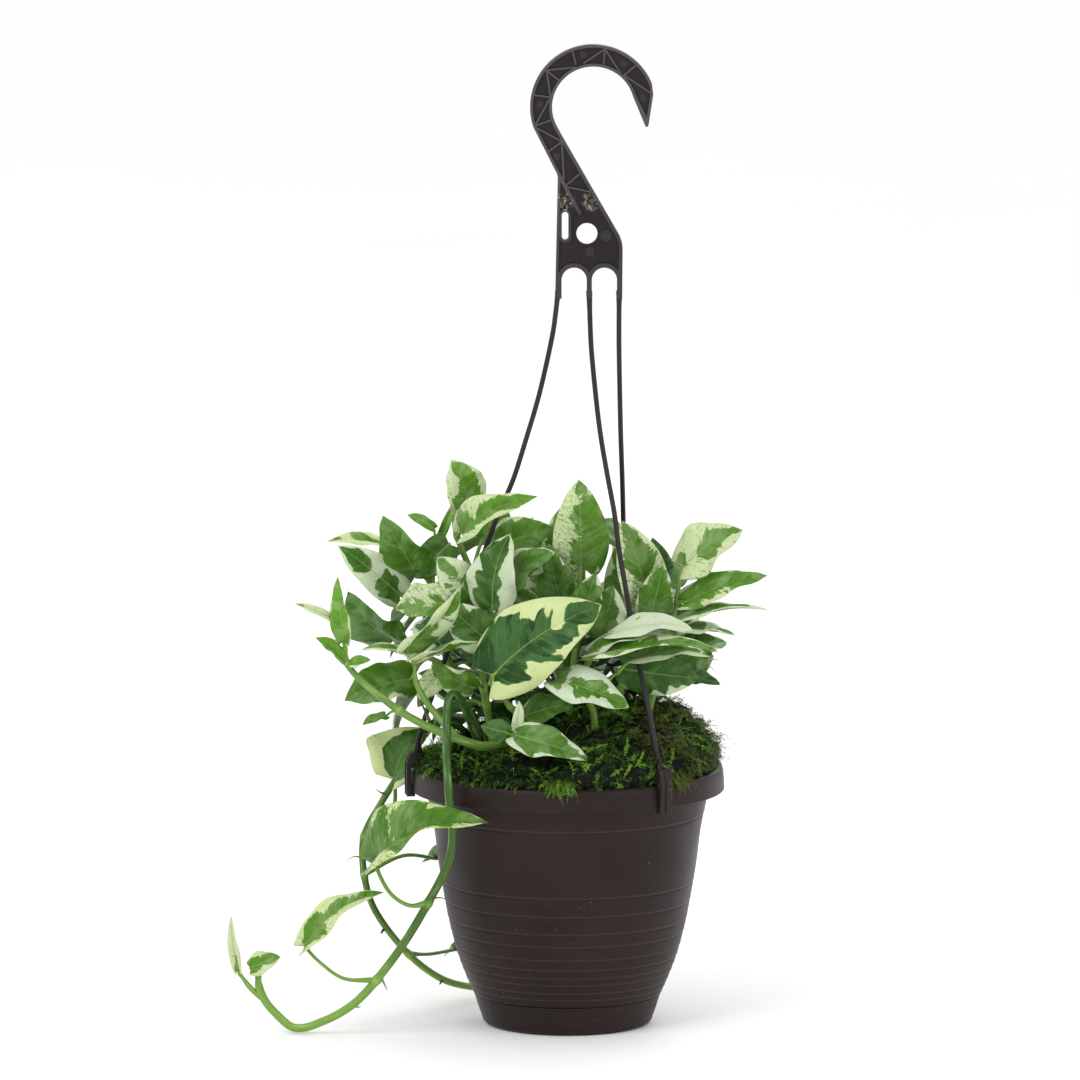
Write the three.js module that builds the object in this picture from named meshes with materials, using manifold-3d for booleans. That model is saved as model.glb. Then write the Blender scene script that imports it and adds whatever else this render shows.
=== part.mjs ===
// A variegated pothos in a hanging-basket pot: a dark plastic pot with a push-on saucer,
// a one-piece plastic hanger clipped over its rim, potting mix, a moss topping and leafy stems.
// Millimetres, +Z up, origin at the middle of the saucer's underside, the front towards -Y.
import * as THREE from 'three';
import { mergeVertices } from 'three/addons/utils/BufferGeometryUtils.js';
import Module from 'manifold-3d';

const wasm = await Module();
wasm.setup();

// Driving dimensions
const RIM_RADIUS = 82.5;
const POT_HEIGHT = 137;
const BAND_HEIGHT = 12.5;
const WALL = 1.6;
const BASE_RADIUS = 42;
const SAUCER_HEIGHT = 15.6;
const GAP = 0.3;
const SOIL_TOP = POT_HEIGHT - 0.2;
const MOSS_RADIUS = 79;
const HOOK_CENTRE = [13.4, 484.8];
const HOOK_OUTER = 33;
const HOOK_INNER = 21.5;
const PLATE_THICK = 4.4;
const WEB_THICK = 1.4;
const EDGE_WALL = 1.6;
const STRAND_RADIUS = 1.35;
const CLIP_WIDTH = 7.5;
const BLADE_THICK = 0.9;
const PETIOLE_RADIUS = 1.1;
const AROUND = 30;

// The leaf lists give places as seen from the front, a little from above: x, depth y and the
// height on the picture plane. This tilt turns that height into a real one.
const VIEW_TILT = THREE.MathUtils.degToRad(9);

const root = new THREE.Group();
root.name = 'potted_variegated_pothos';

const finishes = {
  pot: new THREE.MeshStandardMaterial({ color: '#2f2725', roughness: 0.5, metalness: 0 }),
  hanger: new THREE.MeshStandardMaterial({ color: '#2b2829', roughness: 0.4, metalness: 0 }),
  soil: new THREE.MeshStandardMaterial({ color: '#2a1d14', roughness: 1, metalness: 0 }),
  moss: new THREE.MeshStandardMaterial({ color: '#3b5a22', roughness: 0.95, metalness: 0 }),
  foliage: new THREE.MeshStandardMaterial({ color: '#7fa55c', roughness: 0.4, metalness: 0 }),
};

// Solids: a closed geometry becomes one that can be cut and joined, and back again.
function solid(geometry) {
  const bare = geometry.index ? geometry.toNonIndexed() : geometry.clone();
  const points = new THREE.BufferGeometry();
  points.setAttribute('position', bare.getAttribute('position'));
  const merged = mergeVertices(points, 1e-4);
  return new wasm.Manifold(new wasm.Mesh({
    numProp: 3,
    vertProperties: new Float32Array(merged.attributes.position.array),
    triVerts: new Uint32Array(merged.index.array),
  }));
}

function geometryOf(body) {
  const mesh = body.getMesh();
  const geometry = new THREE.BufferGeometry();
  geometry.setAttribute('position', new THREE.BufferAttribute(mesh.vertProperties.slice(), 3));
  geometry.setIndex(new THREE.BufferAttribute(mesh.triVerts.slice(), 1));
  geometry.computeVertexNormals();
  return geometry;
}

function joined(solids) {
  return solids.reduce((whole, next) => whole.add(next));
}

function place(name, body, finish) {
  const mesh = new THREE.Mesh(geometryOf(body), finishes[finish]);
  mesh.name = name;
  root.add(mesh);
}

// A solid of revolution about Z, from [radius, height] points that run upwards outside.
function turned(profile, around = AROUND) {
  const points = profile.map(([r, z]) => new THREE.Vector2(r, z));
  return solid(new THREE.LatheGeometry(points, around).rotateX(Math.PI / 2));
}

// A smooth route that is stepped from point to point, so that a tube along it passes through
// every point that it is given.
class Route extends THREE.CatmullRomCurve3 {
  getPointAt(part, target) {
    return this.getPoint(part, target);
  }

  getTangentAt(part, target) {
    return this.getTangent(part, target);
  }
}

// A tube of a regular section along a smooth route, with so many steps from point to point.
function tube(points, radius, sides, steps = 1) {
  const section = new THREE.Shape();
  for (let k = 0; k < sides; k += 1) {
    const turn = (2 * Math.PI * k) / sides;
    const corner = [radius * Math.cos(turn), radius * Math.sin(turn)];
    if (k === 0) section.moveTo(...corner);
    else section.lineTo(...corner);
  }
  section.closePath();
  const settings = {
    steps: steps * (points.length - 1),
    curveSegments: 1,
    bevelEnabled: false,
    extrudePath: new Route(points, false, 'centripetal'),
  };
  return solid(new THREE.ExtrudeGeometry(section, settings));
}

// A flat outline in X and Z, as thick along Y as asked and centred on Y = 0.
function slab(outline, thick, holes = []) {
  const shape = new THREE.Shape(outline.map(([x, z]) => new THREE.Vector2(x, z)));
  shape.holes = holes.map((hole) => new THREE.Path(hole.map(([x, z]) => new THREE.Vector2(x, z))));
  const block = new THREE.ExtrudeGeometry(shape, { depth: thick, bevelEnabled: false });
  return solid(block.translate(0, 0, -thick / 2).rotateX(Math.PI / 2));
}

function arc([x, z], radius, from, to, steps) {
  return Array.from({ length: steps + 1 }, (_, k) => {
    const turn = THREE.MathUtils.degToRad(from + ((to - from) * k) / steps);
    return [x + radius * Math.cos(turn), z + radius * Math.sin(turn)];
  });
}

// The pot: a tapering shell whose rim folds out and down in a band, with drain holes in its floor.
// Its foot steps in to stand inside the saucer's edge.
const FOOT_RADIUS = 46.6;
const BAND_BOTTOM = POT_HEIGHT - BAND_HEIGHT;
const potOutside = [
  [43.6, 4.6], [FOOT_RADIUS, SAUCER_HEIGHT + GAP], [49.3, SAUCER_HEIGHT + GAP], [53.7, 26],
  [59.5, 43], [62.3, 54.5], [64.2, 64.2], [67.8, 85.4], [69.9, 102.4],
  [72.5, 115.6], [74.8, 126],
];
const potRim = [
  [76.6, POT_HEIGHT - WALL], [RIM_RADIUS - WALL, POT_HEIGHT - WALL],
  [RIM_RADIUS - WALL, BAND_BOTTOM], [RIM_RADIUS, BAND_BOTTOM], [81.9, 133.6],
  [81.2, 136.2], [79.4, POT_HEIGHT], [75.2, POT_HEIGHT],
];
const potInside = [
  [73.1, 126], [68.2, 102.4], [62.5, 64.2], [57.8, 43], [51.9, 26], [45, 15.5], [41.8, 6.2],
];
const potShell = turned([[0, 4.6], ...potOutside, ...potRim, ...potInside, [0, 6.2]]);
const DRAIN_COUNT = 5;
const DRAIN_RADIUS = 4;
const DRAIN_CIRCLE = 28;
const drains = Array.from({ length: DRAIN_COUNT }, (_, k) => {
  const turn = (2 * Math.PI * k) / DRAIN_COUNT;
  const drill = new THREE.CylinderGeometry(DRAIN_RADIUS, DRAIN_RADIUS, 6, 6).rotateX(Math.PI / 2);
  return solid(drill.translate(DRAIN_CIRCLE * Math.cos(turn), DRAIN_CIRCLE * Math.sin(turn), 5.4));
});
place('pot', potShell.subtract(joined(drains)), 'pot');

// The saucer: a shallow dish with a rounded foot that is pushed on round the pot's foot.
const saucerShell = turned([
  [0, 0], [BASE_RADIUS, 0], [44.4, 1.4], [45.4, 4.8], [46.9, 9], [48.9, SAUCER_HEIGHT],
  [47.2, SAUCER_HEIGHT], [45.3, 9], [43.9, 4.4], [42.4, WALL + 0.6], [41, WALL], [0, WALL],
]);
place('saucer', saucerShell, 'pot');

// The hanger is one moulding: a hook with a walled edge and a thin ribbed web, a plate with a
// slot and a hole, three strands and the clips that grip the rim.
const LEG_BOTTOM = 384;
const ARCH_TOP = 400.4;
const hookOutline = [
  [42.2, 475.2], [44.7, 491.5],
  ...arc(HOOK_CENTRE, HOOK_OUTER, 22, 198, 14),
  [-5.1, 449], [-6.5, LEG_BOTTOM],
  ...archedLegs(),
  [28.6, LEG_BOTTOM], [28.8, 412.4], [27.8, 416.1],
  [-3.6, 471],
  ...arc(HOOK_CENTRE, HOOK_INNER, 212, 16, 12),
  [40.8, 474.6],
];

// The plate's foot, from left to right: three legs with a round-topped arch between each two.
function archedLegs() {
  const arches = [[-3.1, 10], [12.7, 25.8]];
  return arches.flatMap(([left, right]) => {
    const radius = (right - left) / 2;
    const crown = arc([left + radius, ARCH_TOP - radius], radius, 180, 0, 6);
    return [[left, LEG_BOTTOM], ...crown, [right, LEG_BOTTOM]];
  });
}

// The hook's wall and web end where the solid plate begins.
const hookPart = [
  [42.2, 475.2], [44.7, 491.5], ...arc(HOOK_CENTRE, HOOK_OUTER, 22, 198, 14), [-5.1, 449],
  [-0.4, 441], [12.6, 441], [-3.6, 471], ...arc(HOOK_CENTRE, HOOK_INNER, 212, 16, 12),
  [40.8, 474.6],
];
const RIB_THICK = 1.1;
const RIBS = [
  [[19.4, 516], [8, 506]], [[19.4, 516], [26.6, 503]], [[2.6, 515], [4.6, 507]],
  [[-11, 504.6], [2, 505]], [[-11, 504.6], [-6.4, 490]], [[-18, 492], [-9, 491]],
  [[-9, 490.6], [-17, 475.4]], [[-17, 475.4], [-3, 467]], [[-11.6, 461], [-3, 467]],
  [[-3, 467], [-1.8, 448.6]], [[-0.4, 444.6], [7.4, 450.4]], [[30.8, 502.4], [36.4, 507.6]],
  [[30.8, 502], [43, 493]],
];
function rib([from, to]) {
  const length = Math.hypot(to[0] - from[0], to[1] - from[1]);
  const bar = new THREE.BoxGeometry(length, PLATE_THICK - 0.6, RIB_THICK);
  bar.rotateY(-Math.atan2(to[1] - from[1], to[0] - from[0]));
  return solid(bar.translate((from[0] + to[0]) / 2, 0, (from[1] + to[1]) / 2));
}
// The web is set in from both faces by a pocket that keeps a wall all round the hook.
const pocketOutline = [
  [41.4, 480.6], [43, 491.2], ...arc(HOOK_CENTRE, HOOK_OUTER - EDGE_WALL, 20, 198, 14),
  [-3.5, 449.6], [0.6, 442.8], [9.6, 442.8], [-5, 470.3],
  ...arc(HOOK_CENTRE, HOOK_INNER + EDGE_WALL, 210, 18, 12),
];
const pocketDepth = (PLATE_THICK - WEB_THICK) / 2;
const pockets = [-1, 1].map((side) => (
  slab(pocketOutline, PLATE_THICK).translate([0, side * (PLATE_THICK - pocketDepth), 0])));
const slot = [
  ...arc([-1.3, 427.9], 1.8, 0, 180, 4), ...arc([-1.3, 416.9], 1.8, 180, 360, 4),
];
const roundHole = arc([10.1, 418.3], 5.5, 0, 330, 11);
const hookBlank = slab(hookOutline, PLATE_THICK, [slot, roundHole]);
const ribs = joined(RIBS.map(rib)).intersect(slab(hookPart, PLATE_THICK));
const hookPlate = hookBlank.subtract(joined(pockets)).add(ribs);

// Each clip is a block over the rim with an arm down its outside and a toe under its band.
// The azimuths are in degrees from +X.
const clipProfile = [
  [75.6, POT_HEIGHT + GAP], [RIM_RADIUS + GAP, POT_HEIGHT + GAP],
  [RIM_RADIUS + GAP, BAND_BOTTOM - GAP], [RIM_RADIUS - WALL, BAND_BOTTOM - GAP],
  [RIM_RADIUS - WALL, BAND_BOTTOM - 2.4], [85.2, BAND_BOTTOM - 2.4], [85.6, 139],
  [83.6, 145.4], [77.4, 145.4],
];
function clip(azimuth) {
  const shape = new THREE.Shape(clipProfile.map(([r, z]) => new THREE.Vector2(r, z)));
  const block = new THREE.ExtrudeGeometry(shape, { depth: CLIP_WIDTH, bevelEnabled: false });
  block.translate(0, 0, -CLIP_WIDTH / 2).rotateX(Math.PI / 2);
  return solid(block.rotateZ(THREE.MathUtils.degToRad(azimuth)));
}
const CLIP_AZIMUTHS = { left: -172.7, front: -52.7, back: 67.3 };
const STRANDS = {
  left: [
    [-4.9, 0, 386], [-6.2, -0.2, 376.5], [-8.2, -0.4, 363], [-14.4, -1.2, 335], [-21.2, -2.2, 311.5],
    [-28.5, -3.2, 288.5], [-36, -4.2, 271.5], [-42, -5, 254.8], [-60, -7.5, 206],
    [-75.5, -9.6, 161], [-79.9, -10.2, 143.6],
  ],
  front: [
    [11.3, 0, 386], [11.8, -1, 371], [12.6, -2.4, 355.5], [15.2, -6.8, 329.3], [17.5, -10.6, 311.7],
    [20.7, -16, 293.5], [24.5, -22.4, 273.5], [27, -26.6, 254.2], [30.5, -32.5, 235.1],
    [37, -43.5, 199], [42, -52, 176.2], [45.6, -59, 157], [48.7, -63.9, 143.6],
  ],
  back: [
    [27, 0, 386], [26.9, 3, 363], [27.2, 9, 342.2], [27.9, 16, 310.4], [28.8, 24, 284.2],
    [29.6, 36, 252], [30.4, 56, 198], [31, 74, 143.6],
  ],
};
const strands = Object.values(STRANDS).map((points) => {
  const path = points.map((point) => new THREE.Vector3(...point));
  return tube(path, STRAND_RADIUS, 5);
});
const clips = Object.values(CLIP_AZIMUTHS).map(clip);
place('hanger', joined([hookPlate, ...strands, ...clips]), 'hanger');

// The foliage. A blade runs from its base to its tip. Across it, t goes from -1 to 1, and along
// it s goes from 0 to 1. Its half width is s^0.45 (1-s)^0.8, its two halves lift by the fold,
// its middle bows out by the arch, and its base lobes reach back past the petiole.
const FRONT_ROWS = [0.08, 0.28, 0.54, 0.8];
const BACK_ROWS = [0.14, 0.44, 0.76];
const WIDEST = 0.36 ** 0.45 * 0.64 ** 0.8;
const LOBE = 0.1;
const WAVE = 0.16;

function seen([x, y, h]) {
  return new THREE.Vector3(x, y, h - y * Math.tan(VIEW_TILT));
}

function blade({ base, tip, width, face, arch, fold, sweep, wave }) {
  const along = new THREE.Vector3().subVectors(tip, base);
  const length = along.length();
  along.normalize();
  const out = face.clone().addScaledVector(along, -face.dot(along)).normalize();
  const across = new THREE.Vector3().crossVectors(along, out);
  const lift = Math.sin(THREE.MathUtils.degToRad(fold));
  const spread = Math.cos(THREE.MathUtils.degToRad(fold));

  function pointAt(s, t) {
    const half = ((width / 2) * s ** 0.45 * (1 - s) ** 0.8) / WIDEST;
    const bow = 4 * s * (1 - s) * length;
    const back = LOBE * length * Math.abs(t) ** 1.5 * (1 - s) ** 4;
    const ripple = wave * half * t * t * Math.sin(9 * s + 2 * t);
    return base.clone()
      .addScaledVector(along, s * length - back)
      .addScaledVector(out, arch * bow + Math.abs(t) * half * lift + ripple)
      .addScaledVector(across, t * half * spread + sweep * bow);
  }
  return { pointAt, out, across };
}

// A petiole rises from the stem, bends over and meets its blade.
function petiolePoints(from, leaf) {
  const reach = from.distanceTo(leaf.base);
  const knee = from.clone().lerp(leaf.base, 0.55).add(new THREE.Vector3(0, 0, 0.12 * reach));
  if (leaf.via.length > 0) return [from, ...leaf.via];
  return reach < 4 ? [from] : [from, knee];
}

// A closed leaf. The petiole is a four-sided tube whose last ring is the base of the blade. The
// blade has an upper and a lower face, split alike, thick in the middle and meeting at the rim.
function leafSolid(from, leaf) {
  const { pointAt, out, across } = blade(leaf);
  const points = [];
  const faces = [];
  const add = (point) => points.push(point) - 1;
  const ring = (centre, side, up, radius) => [[-1, 0], [0, 1], [1, 0], [0, -1]].map(
    ([right, above]) => add(centre.clone()
      .addScaledVector(side, right * radius).addScaledVector(up, above * radius)));
  const rings = [ring(leaf.base, across, out, PETIOLE_RADIUS * 0.8)];
  const side = across.clone();
  petiolePoints(from, leaf).reverse().reduce((next, centre) => {
    const heading = new THREE.Vector3().subVectors(next, centre).normalize();
    side.addScaledVector(heading, -side.dot(heading)).normalize();
    const up = new THREE.Vector3().crossVectors(side, heading);
    rings.unshift(ring(centre, side, up, PETIOLE_RADIUS));
    return centre;
  }, leaf.base);
  rings.slice(1).forEach((next, r) => {
    for (let k = 0; k < 4; k += 1) {
      const after = (k + 1) % 4;
      faces.push([rings[r][k], rings[r][after], next[k]], [rings[r][after], next[after], next[k]]);
    }
  });
  const [start] = rings;
  faces.push([start[0], start[3], start[2]], [start[0], start[2], start[1]]);
  const [left, top, right, bottom] = rings[rings.length - 1];
  const tip = add(leaf.tip.clone());
  const rim = leaf.rows.map((s) => [add(pointAt(s, -1)), add(pointAt(s, 1))]);
  [[top, 1], [bottom, -1]].forEach(([middle, side]) => {
    const skin = (s, t) => add(pointAt(s, t).addScaledVector(out, (side * BLADE_THICK) / 2));
    const rows = leaf.rows.map((s, r) => [
      rim[r][0], skin(s, -0.5), skin(s, 0), skin(s, 0.5), rim[r][1]]);
    const put = (a, b, c) => faces.push(side > 0 ? [a, b, c] : [a, c, b]);
    const [first] = rows;
    put(left, first[1], first[0]);
    put(left, middle, first[1]);
    put(middle, first[2], first[1]);
    put(middle, first[3], first[2]);
    put(middle, right, first[3]);
    put(right, first[4], first[3]);
    for (let c = 0; c < 4; c += 1) {
      put(tip, rows[rows.length - 1][c], rows[rows.length - 1][c + 1]);
      for (let r = 0; r < rows.length - 1; r += 1) {
        put(rows[r][c], rows[r][c + 1], rows[r + 1][c]);
        put(rows[r][c + 1], rows[r + 1][c + 1], rows[r + 1][c]);
      }
    }
  });
  const geometry = new THREE.BufferGeometry();
  const flat = new Float32Array(points.flatMap((point) => point.toArray()));
  geometry.setAttribute('position', new THREE.BufferAttribute(flat, 3));
  geometry.setIndex(faces.flat());
  return solid(geometry);
}

// Each leafy stem: its routes, each a list of points with a radius, and its leaves. A leaf is
// [route, point it grows from, base, tip, width, facing direction, arch, fold, sweep].
// The first route's points count from its foot, 0, and the top of the moss over it, 1, and the
// list leaves out the second. A branch starts on a point of the first route. A long petiole has
// the points that it passes at the end. All places are x, depth y and height seen.
const STEMS = {
  stem_shoot_left: {
    routes: [
      [3, [-30, -30, 128], [-44, -46, 147], [-57, -53, 151], [-66, -52, 154.5],
        [-76, -49, 159], [-88, -44, 166], [-101, -41, 176], [-110, -40, 184], [-115, -40, 191],
        [-116, -40, 199]],
      [2.4, [-57, -53, 151], [-66, -50, 161], [-74, -46, 171], [-79, -43, 181], [-80, -42, 191]],
    ],
    leaves: [
      [0, 10, [-122, -42, 214], [-142, -46, 223], 6, [-0.4, -0.8, 0.6], 0.06, 30, 0],
      [0, 10, [-117, -41, 203], [-121, -47, 236], 12, [-0.5, -1, 0.2], 0.08, 20, 0.05],
      [0, 9, [-117, -41, 193], [-131, -46, 205], 10, [0.2, -0.8, 0.8], 0.06, 20, 0],
      [0, 9, [-113, -42, 191], [-103, -47, 193], 7, [0.2, -1, 0.6], 0.05, 15, 0],
      [0, 6, [-95, -42, 163], [-107, -50, 159], 8, [0, -0.6, 1], 0.05, 15, 0],
      [1, 4, [-82, -42, 194], [-108, -46, 198], 12, [-0.1, -0.3, 1], 0.1, 20, 0],
      [1, 4, [-78, -44, 193], [-45, -52, 202], 18, [0.05, -0.25, -1], -0.1, 12, 0],
      [1, 4, [-84, -46, 198], [-54, -48, 230], 20, [0.75, -0.75, -0.2], 0.05, 16, 0],
    ],
  },
  stem_left_back: {
    routes: [
      [2.6, [-46, 6, 130], [-61, 12, 188], [-70, 14, 212], [-71, 14, 232],
        [-69, 14, 250]],
      [2, [-61, 12, 188], [-74, 16, 194], [-86, 18, 198]],
    ],
    leaves: [
      [0, 4, [-86, 12, 250], [-126, 4, 257], 15, [-0.1, -0.5, 1], 0.06, 15, 0],
      [0, 4, [-79, 8, 238], [-97, -6, 268], 27, [-0.5, -1, 0.15], 0.06, 12, 0.04],
      [0, 5, [-62, 9, 254], [-80, 4, 236], 20, [0.1, -1, 0.5], 0.08, 14, 0],
      [0, 3, [-88, 8, 227], [-119, -4, 253], 22, [-0.35, -0.8, 0.6], 0.06, 16, 0],
      [0, 5, [-70, 18, 262], [-84, 22, 270], 7, [0, -0.8, 0.5], 0.1, 25, 0],
      [0, 5, [-68, 20, 256], [-60, 22, 275], 7, [0.3, -1, 0.2], 0.04, 40, 0],
      [1, 2, [-91, 14, 203], [-116, 2, 227], 32, [-0.7, -0.75, -0.1], 0.12, 10, 0.05],
      [1, 2, [-92, 22, 205], [-111, 28, 214], 12, [-0.4, -0.6, 0.8], 0.06, 15, 0],
      [1, 1, [-82, 10, 182], [-117, -2, 171], 27, [-0.1, -0.85, 0.7], 0.1, 14, 0],
    ],
  },
  stem_top: {
    routes: [
      [2.6, [-22, 8, 130], [-36, 12, 205], [-50, 12, 238], [-58, 12, 258],
        [-60, 12, 268]],
    ],
    leaves: [
      [0, 5, [-52, 10, 274], [-60, 2, 298], 25, [0.3, -1, 0.25], 0.06, 14, 0.03],
      [0, 4, [-53.5, -7, 258.5], [-16, -24, 279.5], 22.5, [-0.7, -0.9, 0.5], 0.35, 30, 0.09],
      [0, 3, [-37, 2, 254], [-8, -5, 263], 24, [0.1, -1, 0.55], 0.1, 14, 0.05],
      [0, 3, [-44, 18, 257], [-37, 30, 279], 23, [0.5, -0.4, 0.8], 0.1, 14, 0],
      [0, 2, [-26, 20, 236], [-2, 30, 262], 28, [0.4, -0.6, 0.8], 0.1, 14, 0],
    ],
  },
  stem_middle_left: {
    routes: [
      [2.6, [-39, -12, 130], [-44, -20, 178], [-46, -24, 200], [-46, -24, 214]],
    ],
    leaves: [
      [0, 4, [-39, -30, 220], [-31, -34, 259], 28, [-0.35, -1, 0.15], 0.07, 14, -0.05],
      [0, 4, [-29, -24, 231], [-8, -32, 251], 25, [-0.3, -0.6, 1], 0.1, 16, 0],
      [0, 3, [-63, -30, 222], [-90, -34, 220], 26, [0, -0.75, 0.75], 0.1, 16, 0],
      [0, 3, [-41, -30, 202], [-63, -34, 222], 24, [0.3, -1, -0.2], 0.08, 8, 0],
      [0, 2, [-49, -34, 178], [-71, -40, 191], 17, [0.2, -1, -0.6], 0.1, 10, 0],
      [0, 2, [-64, -26, 187], [-78, -31, 172], 14, [-0.3, -1, 0.3], 0.06, 14, 0],
      [0, 4, [-50, -20, 226], [-68, -22, 247], 22, [-0.3, -0.8, 0.6], 0.08, 14, 0],
    ],
  },
  stem_big_leaf: {
    routes: [
      [2.4, [-17, -34, 131], [-30, -40, 168], [-40, -44, 180]],
    ],
    leaves: [
      [0, 3, [-39, -50, 184.5], [16, -62, 222], 42.5, [-0.1, -1, 0.3], 0.04, 10, -0.05],
      [0, 2, [-22, -42, 163], [2, -50, 170], 18, [0, -0.8, 0.6], 0.06, 14, 0],
    ],
  },
  stem_low_front: {
    routes: [
      [2, [-20, -50, 130], [-27, -60, 149], [-29, -61, 153]],
    ],
    leaves: [
      [0, 3, [-27, -63, 153], [11, -74, 142], 20, [0, -0.85, 0.7], 0.1, 14, 0.05],
      [0, 3, [-31, -63, 154], [-45, -70, 158], 13, [0, -1, 0.3], 0.06, 10, 0],
      [0, 3, [-27, -61, 156], [-25, -66, 171], 7, [0.3, -1, 0], 0.05, 14, 0],
    ],
  },
  stem_centre: {
    routes: [
      [2.6, [1, -8, 130], [4, -8, 200], [6, -6, 228]],
      [2, [4, -8, 200], [9, -16, 210], [13, -20, 216]],
    ],
    leaves: [
      [0, 3, [7, -4, 242], [6, -14, 287], 31, [0.05, -1, 0.2], 0.06, 14, 0],
      [0, 3, [0, 8, 236], [-5, 10, 273], 22, [-0.5, -0.8, 0.3], 0.06, 16, 0],
      [1, 2, [11, -26, 208], [14, -34, 238], 22, [-0.2, -1, 0.2], 0.06, 12, -0.04],
      [1, 2, [15, -24, 206], [24, -22, 232], 22, [0.45, -1, 0.2], 0.06, 12, 0.04],
      [0, 2, [-3, -14, 222], [-10, -20, 254], 20, [-0.3, -1, 0.2], 0.06, 12, 0],
    ],
  },
  stem_right_top: {
    routes: [
      [2.6, [27, -4, 130], [34, -2, 195], [39, -2, 210]],
    ],
    leaves: [
      [0, 3, [41, -6, 219], [29, -12, 266], 28, [0.25, -1, 0.2], 0.05, 12, 0.04],
      [0, 3, [44, 6, 226], [46, 4, 257], 22, [0.5, -0.8, 0.3], 0.06, 14, 0],
      [0, 3, [43, -12, 214], [50, -18, 243], 20, [0.1, -1, 0.2], 0.06, 12, 0],
      [0, 2, [30, 8, 218], [33, 14, 262], 26, [0.1, -0.7, 0.6], 0.08, 14, 0],
    ],
  },
  stem_right: {
    routes: [
      [2.6, [43, -14, 130], [50, -14, 188], [54, -14, 206], [57, -12, 222]],
    ],
    leaves: [
      [0, 4, [60, -10, 241], [90, -14, 263], 30, [0, -0.7, 0.8], 0.1, 12, 0],
      [0, 4, [62, -16, 223], [104, -24, 238], 19, [-0.1, -0.7, 0.8], 0.06, 16, 0],
      [0, 3, [56, -20, 211], [105, -32, 220], 12, [0, -0.3, 1], 0.08, 20, 0],
      [0, 3, [60, -18, 208], [88, -26, 206], 14, [0, -0.3, 1], 0.05, 18, 0],
      [0, 2, [57, -14, 198], [78, -20, 204], 14, [0.1, -0.6, 0.8], 0.06, 14, 0],
      [0, 2, [62, -24, 184], [80, -30, 180], 10, [0, -0.6, 0.8], 0.04, 14, 0],
      [0, 2, [58, 6, 192], [84, 22, 202], 20, [0.3, -0.3, 1], 0.1, 14, 0],
    ],
  },
  stem_right_front: {
    routes: [
      [2.4, [14, -40, 132], [11, -46, 172], [9, -48, 188]],
      [2, [11, -46, 172], [19, -46, 180], [26, -46, 186]],
    ],
    leaves: [
      [0, 3, [24, -52, 206], [65, -66, 211], 20, [0, -0.45, 1], 0.08, 12, 0],
      [0, 3, [11, -52, 196], [39, -62, 205], 14, [0, -0.6, 1], 0.08, 16, 0],
      [0, 3, [13, -58, 193], [78, -74, 201], 18, [0, -0.3, 1], 0.07, 18, 0],
      [1, 2, [30, -37, 188], [69, -34, 183], 24, [0.1, -0.9, -0.1], 0.06, 8, 0],
      [1, 2, [36, -47, 193], [74, -54, 197], 13, [0, -0.6, 0.8], 0.1, 14, 0],
      [0, 2, [-6, -54, 182], [32, -70, 168], 24, [0, -0.75, 0.8], 0.12, 12, 0.04],
    ],
  },
  vine_front: {
    routes: [
      [2.4, [-46, -26, 130], [-56, -48, 172], [-62, -60, 172], [-63, -64, 150],
        [-62, -63, 122], [-60, -60, 100], [-63, -58, 84], [-73, -56, 64], [-86, -54, 42],
        [-100, -50, 23], [-110, -46, 12], [-120, -42, 4.8], [-130, -38, 0],
        [-138, -35.5, -2.7], [-145, -34.5, -2], [-152, -35, 4], [-158, -36, 11],
        [-161.5, -37, 19], [-162, -37, 25]],
      [1.6, [-158, -36, 11], [-166, -36.5, 18.5], [-172, -37, 26.5]],
    ],
    leaves: [
      [0, 8, [-100, -58, 84], [-42.5, -74, 109], 39, [-0.6, -0.52, 0.6], 0.32, 32, 0.13,
        [-83, -59, 63], [-93, -61, 70]],
      [0, 10, [-137, -50, 41], [-97, -56, 71], 19, [-0.6, -0.7, 0.6], 0.12, 18, -0.03,
        [-117, -53, 24], [-130, -51, 33]],
      [0, 19, [-166, -38, 29], [-150.5, -40, 35.5], 13, [0.3, -0.8, 0.6], 0.06, 14, 0],
      [1, 2, [-172.5, -37, 28], [-176.5, -40, 57], 7, [-0.3, -1, 0.2], 0.05, 30, 0],
    ],
  },
  vine_back: {
    routes: [
      [2, [-54, 26, 132], [-72, 25, 158], [-88, 22, 132], [-98, 20, 116],
        [-107, 18, 98], [-107, 18, 78], [-101, 22, 58], [-84, 34, 35], [-66, 48, 21],
        [-48, 62, 16], [-34, 70, 14.5]],
    ],
    leaves: [
      [0, 5, [-91, 27, 128], [-74, 24, 156], 39, [-0.6, -0.8, 0.1], 0.06, 40, -0.1,
        [-97, 21, 103], [-91, 25, 116]],
      [0, 6, [-70, 40, 86], [-38, 74, 96], 24, [-0.3, 0.5, 1], 0.1, 14, 0],
      [0, 8, [-60, 60, 36.5], [-30, 84, 46], 22, [-0.2, 0.6, 1], 0.1, 14, 0, [-73, 46, 34.5]],
      [0, 11, [-26, 74, 20], [6, 82, 22], 20, [0, 0.3, 1], 0.08, 14, 0],
    ],
  },
};

function blend(low, high, part) {
  return low + (high - low) * part;
}

// Around the edge the moss is a low roll. Inside it, it rises in a mound.
const MOSS_EDGE = 3.5;
const MOSS_LEFT = { roll: 2, mound: 7 };
const MOSS_RIGHT = { roll: 7, mound: 24 };

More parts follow.
